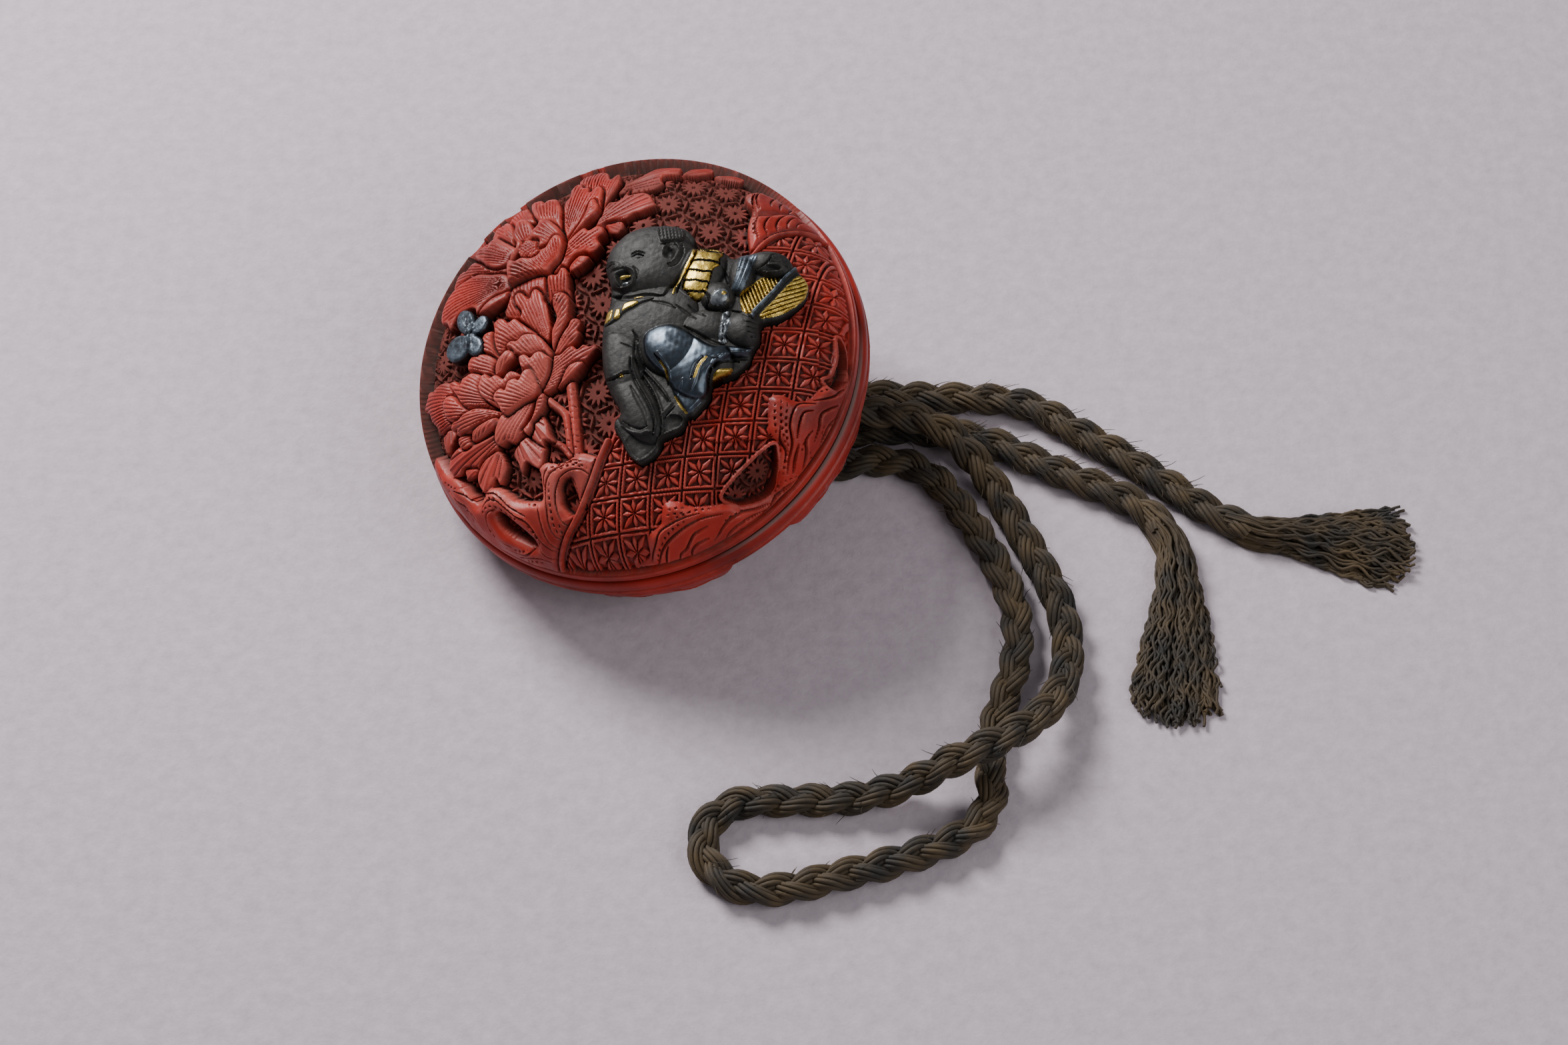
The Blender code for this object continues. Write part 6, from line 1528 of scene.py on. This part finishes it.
def loose_fibres(route, count, seed):
    """Fine hairs that stand off a worn braid."""
    chance = np.random.default_rng(seed)
    _, side, up = frames_along(route)
    out = []
    for _ in range(count):
        start = chance.integers(20, len(route) - 60)
        angle = chance.uniform(-0.2, math.pi + 0.2)
        away = side[start] * math.cos(angle) + up[start] * math.sin(angle)
        ahead = (route[start + 12] - route[start]) / 1.2
        reach = chance.uniform(0.25, 0.85)
        root = route[start] + away * 1.25 - BRAID_DROP
        bend = chance.normal(0, 0.35, 3)
        line = np.array([root + ahead * s * 1.6 * reach + (away * s + bend * s * s) * reach
                         for s in (0.0, 0.35, 0.7, 1.0)])
        line[:, 2] = np.maximum(line[:, 2], 0.06)
        out.append((line, np.array([0.2, 0.17, 0.13, 0.08])))
    return out


def tassel_threads(route, sections, count, seed):
    """Crimped threads that leave the end of a braid and fan out flat on the table."""
    chance = np.random.default_rng(seed)
    step = 0.25
    middle = smooth_line([route[-28][:2]] + [place for place, _, _ in sections], False, 10)
    middle = evenly_spaced(middle, step)
    along = np.linspace(0, 1, len(middle))
    marks = np.concatenate([[0], np.linspace(0.12, 1, len(sections))])
    half = np.interp(along, marks, [1.1] + [width for _, width, _ in sections])
    thick = np.interp(along, marks, [2.6] + [depth for _, _, depth in sections])
    heading = np.gradient(middle, axis=0)
    heading /= np.linalg.norm(heading, axis=1, keepdims=True)
    side = np.column_stack([-heading[:, 1], heading[:, 0]])
    out = []
    for number in range(count):
        lane = chance.uniform(-1, 1)
        layer = chance.uniform(0, 1) * math.sqrt(max(0.05, 1 - lane * lane))
        reach = 1 - abs(chance.normal(0, 0.09)) - 0.08 * lane * lane
        last = max(12, int(len(middle) * min(reach, 1.0)))
        t = along[:last]
        length = t * len(middle) * step
        fan = ease(t, 0.0, 0.3)
        wave = chance.uniform(2.2, 4.2)
        phase = chance.uniform(0, 2 * math.pi)
        size = chance.uniform(0.12, 0.5) * (0.25 + 0.9 * t)
        drift = chance.normal(0, 0.12) * t ** 2
        turns = 2 * math.pi * length / wave
        across = half[:last] * (0.9 * lane + drift) + size * np.sin(turns + phase) * fan
        lift = 0.18 + thick[:last] * (0.9 * layer) * (1 - 0.55 * t)
        lift = lift + 0.5 * size * np.cos(turns / 1.13 + 1.7 * phase) * fan
        line = np.column_stack([middle[:last] + side[:last] * across[:, None], np.maximum(lift, 0.16)])
        out.append((line[::2], 0.62 * np.ones(len(line[::2]))))
    return out


# ---------------------------------------------------------------- materials

def colour(hex_code):
    """An sRGB hex colour as linear red, green and blue."""
    parts = [int(hex_code[k:k + 2], 16) / 255 for k in (0, 2, 4)]
    return tuple(c / 12.92 if c <= 0.04045 else ((c + 0.055) / 1.055) ** 2.4 for c in parts)


def start_material(name):
    made = bpy.data.materials.new(name)
    made.use_nodes = True
    return made, made.node_tree, made.node_tree.nodes["Principled BSDF"]


def feed(tree, node, inputs):
    """Set a node's inputs: each is a number, a hex colour or another node's output."""
    for socket, value in inputs.items():
        if isinstance(value, bpy.types.NodeSocket):
            tree.links.new(value, node.inputs[socket])
        else:
            node.inputs[socket].default_value = (*colour(value), 1.0) if isinstance(value, str) else value


def add_node(tree, kind, inputs, output=0, **settings):
    """A node with its links and settings; gives back one of its outputs."""
    made = tree.nodes.new("ShaderNode" + kind)
    for name, value in settings.items():
        setattr(made, name, value)
    feed(tree, made, inputs)
    return made.outputs[output]


def patches(tree, size, low=0.0, high=1.0, detail=4.0, roughness=0.55):
    """Uneven patches of about this many millimetres, 0 below the low value and 1 above the high one."""
    place = add_node(tree, "TexCoord", {}, "Object")
    cloud = add_node(tree, "TexNoise", {"Vector": place, "Scale": 1 / (size * MM), "Detail": detail,
                                        "Roughness": roughness})
    if (low, high) == (0.0, 1.0):
        return cloud
    return add_node(tree, "MapRange", {"Value": cloud, "From Min": low, "From Max": high})


def coats(tree, body, layers):
    """Colours laid one over the other, each by its own share."""
    for share, over in layers:
        body = add_node(tree, "Mix", {0: share, 6: body, 7: over}, 2, data_type="RGBA")
    return body


def lacquer_material(colours):
    """Carved cinnabar lacquer: red coats, rubbed on the edges with a painted highlight, with dark dirt and
    painted shade in the cuts, pale dusty patches with a painted highlight, and a painted reflection on the
    bare edge of the seam.
    """
    made, tree, shader = start_material("carved_cinnabar_lacquer")
    worn, deep, crest, hollow, dusted, bare_and_reflection, black = (
        add_node(tree, "Attribute", {}, "Fac", attribute_name=name)
        for name in ("worn", "deep", "crest", "hollow", "dusted", "bare_and_reflection", "black"))
    # Pale dust with a painted highlight on these patches
    dust_and_highlight = add_node(tree, "Math", {0: worn, 1: 0.75}, operation="MULTIPLY")
    # Rubbed edges, with a painted highlight on the crests, less of it in the deep grounds
    rubbed = add_node(tree, "Math", {0: crest, 1: patches(tree, 0.9, 0.3, 0.6)}, operation="MULTIPLY")
    shown = add_node(tree, "Math", {0: deep, 1: -0.4, 2: 0.45}, operation="MULTIPLY_ADD")
    rubbed = add_node(tree, "Math", {0: rubbed, 1: shown}, operation="MULTIPLY")
    # Dirt and painted shade in the cuts
    dirt_and_shade = add_node(tree, "Math", {0: hollow, 1: patches(tree, 0.9, 0.12, 0.5)}, operation="MULTIPLY")
    dirt = coats(tree, colours["dirt"], [(dusted, colours["dirt_light"])])
    body = coats(tree, colours["red"], [
        (patches(tree, 9.0, 0.35, 0.65), colours["red_bright"]),
        (dust_and_highlight, colours["dusty"]),
        (deep, colours["red_deep"]),
        (rubbed, colours["rubbed"]),
        (dirt_and_shade, dirt),
        (bare_and_reflection, colours["bare_and_reflection"]),
        (black, colours["black"]),
    ])
    dull = add_node(tree, "Math", {0: hollow, 1: deep}, operation="MAXIMUM")
    rough = add_node(tree, "Math", {0: dull, 1: 0.4, 2: 0.42}, operation="MULTIPLY_ADD")
    grain = add_node(tree, "Bump", {"Height": patches(tree, 0.35, detail=2.0), "Distance": 0.02 * MM})
    feed(tree, shader, {"Base Color": body, "Roughness": rough, "Specular IOR Level": 0.25, "Normal": grain})
    return made


def black_lacquer_material(colours):
    """Black lacquer of the lip inside the seam."""
    made, tree, shader = start_material("black_lacquer")
    body = coats(tree, colours["black"], [(patches(tree, 1.5, 0.4, 0.7), colours["black_worn"])])
    feed(tree, shader, {"Base Color": body, "Roughness": 0.35})
    return made


def metal_material(name, dark, light, rough, dirt, pits, patina=0.0):
    """An inlaid metal: two shades in patches, dirt in its hollows, fine pits, and a patina that dulls it."""
    made, tree, shader = start_material(name)
    hollow = add_node(tree, "Attribute", {}, "Fac", attribute_name="hollow")
    body = coats(tree, dark, [(patches(tree, 0.6, 0.35, 0.62), light), (hollow, dirt)])
    blotches = patches(tree, 0.4)
    uneven = add_node(tree, "Math", {0: blotches, 1: 0.25, 2: rough - 0.12}, operation="MULTIPLY_ADD")
    pitted = add_node(tree, "Bump", {"Height": patches(tree, 0.3, detail=3.0), "Distance": pits * MM})
    feed(tree, shader, {"Base Color": body, "Metallic": 1.0 - patina, "Roughness": uneven, "Normal": pitted})
    return made


def silk_material(colours):
    """Old olive-brown silk, each thread a little lighter or darker."""
    made, tree, shader = start_material("braided_silk")
    strand = add_node(tree, "Attribute", {}, "Fac", attribute_name="strand")
    worn = add_node(tree, "Math", {0: patches(tree, 3.5, 0.35, 0.7), 1: 0.55}, operation="MULTIPLY")
    body = coats(tree, colours["silk_dark"], [(strand, colours["silk"]), (worn, colours["silk_light"])])
    fuzz = add_node(tree, "Bump", {"Height": patches(tree, 0.15, detail=3.0), "Distance": 0.03 * MM})
    feed(tree, shader, {"Base Color": body, "Roughness": 0.75, "Sheen Weight": 0.04, "Sheen Roughness": 0.5,
                        "Normal": fuzz})
    return made


def floor_material(colours):
    """Pale grey backdrop paper with a soft fibrous grain."""
    made, tree, shader = start_material("backdrop_paper")
    body = coats(tree, colours["floor"], [(patches(tree, 1.6, 0.3, 0.7, 6.0, 0.7), colours["floor_light"])])
    fibres = patches(tree, 1.6, detail=6.0, roughness=0.7)
    grain = add_node(tree, "Bump", {"Height": fibres, "Distance": 0.12 * MM})
    feed(tree, shader, {"Base Color": body, "Roughness": 0.95, "Normal": grain})
    return made


# In the order of the metals' numbers: name, dark and light colour, roughness, dirt, pits and patina
METALS = [
    ("patinated_bronze", "bronze", "bronze_light", 0.58, "161413", 0.04, 0.5),
    ("gold", "gold", "gold_light", 0.38, "3a2c10", 0.03),
    ("silver", "silver", "silver_light", 0.36, "2a2a2e", 0.03, 0.2),
    ("polished_silver", "silver", "steel_light", 0.34, "2a2420", 0.006),
    ("blue_grey_steel", "steel", "steel_light", 0.4, "1a1c20", 0.03, 0.4),
]


# ---------------------------------------------------------------- settings

class NetsukeSizes(bpy.types.PropertyGroup):
    """Sizes and fineness of the pieces."""

    lid_cells: IntProperty(name="Lid cells", description="Cells along each side of a quarter of the lid",
                           default=288, min=24)
    back_cells: IntProperty(name="Back cells", description="Cells across the back", default=264, min=24)
    inlay_cell: FloatProperty(name="Figure cell", description="Cell of the figure's surface",
                              default=0.078 * MM, subtype="DISTANCE", unit="LENGTH")
    wing_cell: FloatProperty(name="Butterfly cell", description="Cell of the butterfly's surface",
                             default=0.1 * MM, subtype="DISTANCE", unit="LENGTH")
    braid_pitch: FloatProperty(name="Braid pitch", description="Length of one full turn of the plait",
                               default=10.5 * MM, subtype="DISTANCE", unit="LENGTH")
    thread_radius: FloatProperty(name="Thread radius", description="Radius of one thread of the cord",
                                 default=0.25 * MM, subtype="DISTANCE", unit="LENGTH")
    strand_threads: IntProperty(name="Threads", description="Threads in each strand", default=8, min=3)
    tassel_threads: IntProperty(name="Tassel threads", description="Threads in each tassel",
                                default=150, min=10)


def tint(name, description, default):
    """One colour setting, with its default as sRGB hex."""
    return StringProperty(name=name, description=description, default=default)


class NetsukeColours(bpy.types.PropertyGroup):
    """Colours of the pieces, as sRGB hex."""

    red: tint("Lacquer", "Body of the lacquer", "631712")
    red_bright: tint("Bright lacquer", "Brighter patches", "9a2319")
    # Deep grounds; the same colour also paints the shade on the rim's cut-back wall
    red_deep: tint("Deep lacquer", "Grounds and recesses", "54221b")
    # Pale dusty petals, with a painted highlight
    dusty: tint("Dusty lacquer", "Faded pinkish petals", "a25048")
    # Rubbed edges, with a painted highlight
    rubbed: tint("Rubbed lacquer", "Edges rubbed bright", "ad5347")
    # The two dirt colours also paint the shade in the cuts
    dirt_light: tint("Pale dirt", "Dust in the cuts of the petals", "6a443c")
    dirt: tint("Dirt", "Dirt in the cuts", "2b1914")
    # Worn seam edge, with a painted reflection
    bare_and_reflection: tint("Bare edge", "Worn edge in the seam", "8d7570")
    black: tint("Black lacquer", "Lip in the seam", "12100f")
    black_worn: tint("Worn black", "Worn patches of the lip", "3a322e")
    bronze: tint("Bronze", "Dark bronze", "1a1918")
    bronze_light: tint("Rubbed bronze", "Lighter bronze", "2a2826")
    gold: tint("Gold", "Gold inlay", "8f752f")
    gold_light: tint("Bright gold", "Lighter gold", "c4a85a")
    silver: tint("Silver", "Silver inlay", "43474d")
    silver_light: tint("Bright silver", "Lighter silver", "82868a")
    steel: tint("Steel", "Blue-grey metal", "262b31")
    steel_light: tint("Bright steel", "Lighter blue-grey", "4b545e")
    silk: tint("Silk", "Cord threads", "3e2d12")
    silk_dark: tint("Dark silk", "Dark threads", "140e07")
    silk_light: tint("Worn silk", "Worn threads", "5c4622")
    floor: tint("Paper", "Backdrop", "a89ca4")
    floor_light: tint("Light paper", "Backdrop's lighter fibres", "baaeb6")


def sizes():
    return bpy.context.scene.netsuke_sizes


def hexes():
    group = bpy.context.scene.netsuke_colours
    return {name: getattr(group, name) for name in NetsukeColours.__annotations__}


def cells(count):
    return count


# ---------------------------------------------------------------- operators

class NetsukeStage(bpy.types.Operator):
    """Camera, soft light and paper floor"""

    bl_idname = "netsuke.stage"
    bl_label = "Stage"

    def execute(self, context):
        deselect_all()
        bpy.ops.object.camera_add(location=tuple(MM * c for c in CAMERA_PLACE), rotation=(CAMERA_TILT, 0, 0))
        camera = bpy.context.object
        camera.data.lens = CAMERA_LENS
        camera.data.sensor_width = 36.0
        camera.data.clip_start = 0.01
        camera.data.clip_end = 10.0
        context.scene.camera = camera
        deselect_all()
        bpy.ops.mesh.primitive_plane_add(size=4.0, location=(0, 0, 0))
        floor = bpy.context.object
        floor.name = "backdrop"
        floor.data.materials.append(floor_material(hexes()))
        for name, place, size, watts in LIGHTS:
            deselect_all()
            bpy.ops.object.light_add(type="AREA", location=tuple(MM * c for c in place))
            lamp = bpy.context.object
            lamp.name = name
            lamp.data.shape = "DISK"
            lamp.data.size = size * MM
            lamp.data.energy = watts
            aim = Vector((0, 0, 12)) - Vector(place)
            lamp.rotation_euler = aim.to_track_quat("-Z", "Y").to_euler()
        world = bpy.data.worlds.new("studio")
        world.use_nodes = True
        world.node_tree.nodes["Background"].inputs["Color"].default_value = (*colour("e6e8ec"), 1.0)
        world.node_tree.nodes["Background"].inputs["Strength"].default_value = WORLD_LIGHT
        context.scene.world = world
        return {"FINISHED"}


class NetsukeCords(bpy.types.Operator):
    """The braided silk cord: its two tails and the loop between the two holes"""

    bl_idname = "netsuke.cords"
    bl_label = "Cords and tassels"

    def execute(self, context):
        silk = silk_material(hexes())
        step = 0.4
        threads = sizes().strand_threads // 1
        for number, (name, points, sections, far_end) in enumerate(CORD_PIECES):
            route = route_of(points)
            lines = braid(route, CORD, sizes().braid_pitch / MM, threads, step)
            lines += loose_fibres(route, LOOSE_FIBRES, number)
            cord = make_threads(name, lines, sizes().thread_radius / MM)
            cord.data.materials.append(silk)
            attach(cord, "root")
            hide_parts("cord_" + name)
            if sections:
                count = sizes().tassel_threads // 1
                threads_out = tassel_threads(route, sections, count, number + 5)
                tassel = make_threads("tassel_" + name[5:], threads_out, TASSEL_THREAD_RADIUS)
                tassel.data.materials.append(silk)
                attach(tassel, "root")
                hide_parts("cord_tassel_" + name[5:])
        return {"FINISHED"}


class NetsukeLid(bpy.types.Operator):
    """The carved lid, in four quarters"""

    bl_idname = "netsuke.lid"
    bl_label = "Lid"

    def execute(self, context):
        lacquer = lacquer_material(hexes())
        count = cells(sizes().lid_cells)
        for turn in range(4):
            piece = make_lid_quarter(turn, count, LID_INNER_CELLS)
            piece.data.materials.append(lacquer)
            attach(piece, "root")
            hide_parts("netsuke_front")
        return {"FINISHED"}


class NetsukeBack(bpy.types.Operator):
    """The carved back with its black lip"""

    bl_idname = "netsuke.back"
    bl_label = "Back"

    def execute(self, context):
        lacquer = bpy.data.materials.get("carved_cinnabar_lacquer")
        back = make_back(cells(sizes().back_cells), BACK_INNER_CELLS)
        back.data.materials.clear()
        back.data.materials.append(lacquer)
        lip = make_lip()
        lip.data.materials.append(black_lacquer_material(hexes()))
        for piece in (back, lip):
            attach(piece, "root")
            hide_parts("netsuke_back")
        return {"FINISHED"}


class NetsukeInlays(bpy.types.Operator):
    """The metal boy with his fan, and the metal butterfly"""

    bl_idname = "netsuke.inlays"
    bl_label = "Metal inlays"

    def execute(self, context):
        shades = hexes()
        metals = [metal_material(name, shades[dark], shades[light], *surface)
                  for name, dark, light, *surface in METALS]
        coarser = 1.0
        boy_cell = sizes().inlay_cell / MM * coarser
        wing_cell = sizes().wing_cell / MM * coarser
        boy = make_inlay("boy", boy_outline(), boy_relief, boy_cell)
        fly = make_inlay("butterfly_piece", butterfly_outline(), butterfly_relief, wing_cell)
        for piece, node, slot in (
            (boy, "boy_figure", "patinated_metal"),
            (fly, "butterfly", "blue_grey_metal"),
        ):
            for metal in metals:
                piece.data.materials.append(metal)
            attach(piece, "root")
            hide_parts(node)
        return {"FINISHED"}


class NetsukePanel(bpy.types.Panel):
    """Sizes, colours and pieces of the netsuke"""

    bl_idname = "VIEW3D_PT_netsuke"
    bl_label = "Netsuke"
    bl_space_type = "VIEW_3D"
    bl_region_type = "UI"
    bl_category = "Netsuke"

    def draw(self, context):
        layout = self.layout
        for group in (context.scene.netsuke_sizes, context.scene.netsuke_colours):
            box = layout.box()
            for name in type(group).__annotations__:
                box.prop(group, name)
        for made in OPERATORS:
            layout.operator(made.bl_idname)


OPERATORS = (NetsukeStage, NetsukeCords, NetsukeLid, NetsukeBack, NetsukeInlays)
CLASSES = (NetsukeSizes, NetsukeColours, *OPERATORS, NetsukePanel)


def register():
    for made in CLASSES:
        bpy.utils.register_class(made)
    bpy.types.Scene.netsuke_sizes = PointerProperty(type=NetsukeSizes)
    bpy.types.Scene.netsuke_colours = PointerProperty(type=NetsukeColours)


def unregister():
    del bpy.types.Scene.netsuke_colours
    del bpy.types.Scene.netsuke_sizes
    for made in reversed(CLASSES):
        bpy.utils.unregister_class(made)


def main():
    register()
    bpy.ops.netsuke.stage()
    bpy.ops.netsuke.cords()
    bpy.ops.netsuke.lid()
    bpy.ops.netsuke.back()
    bpy.ops.netsuke.inlays()


if __name__ == "__main__":
    main()
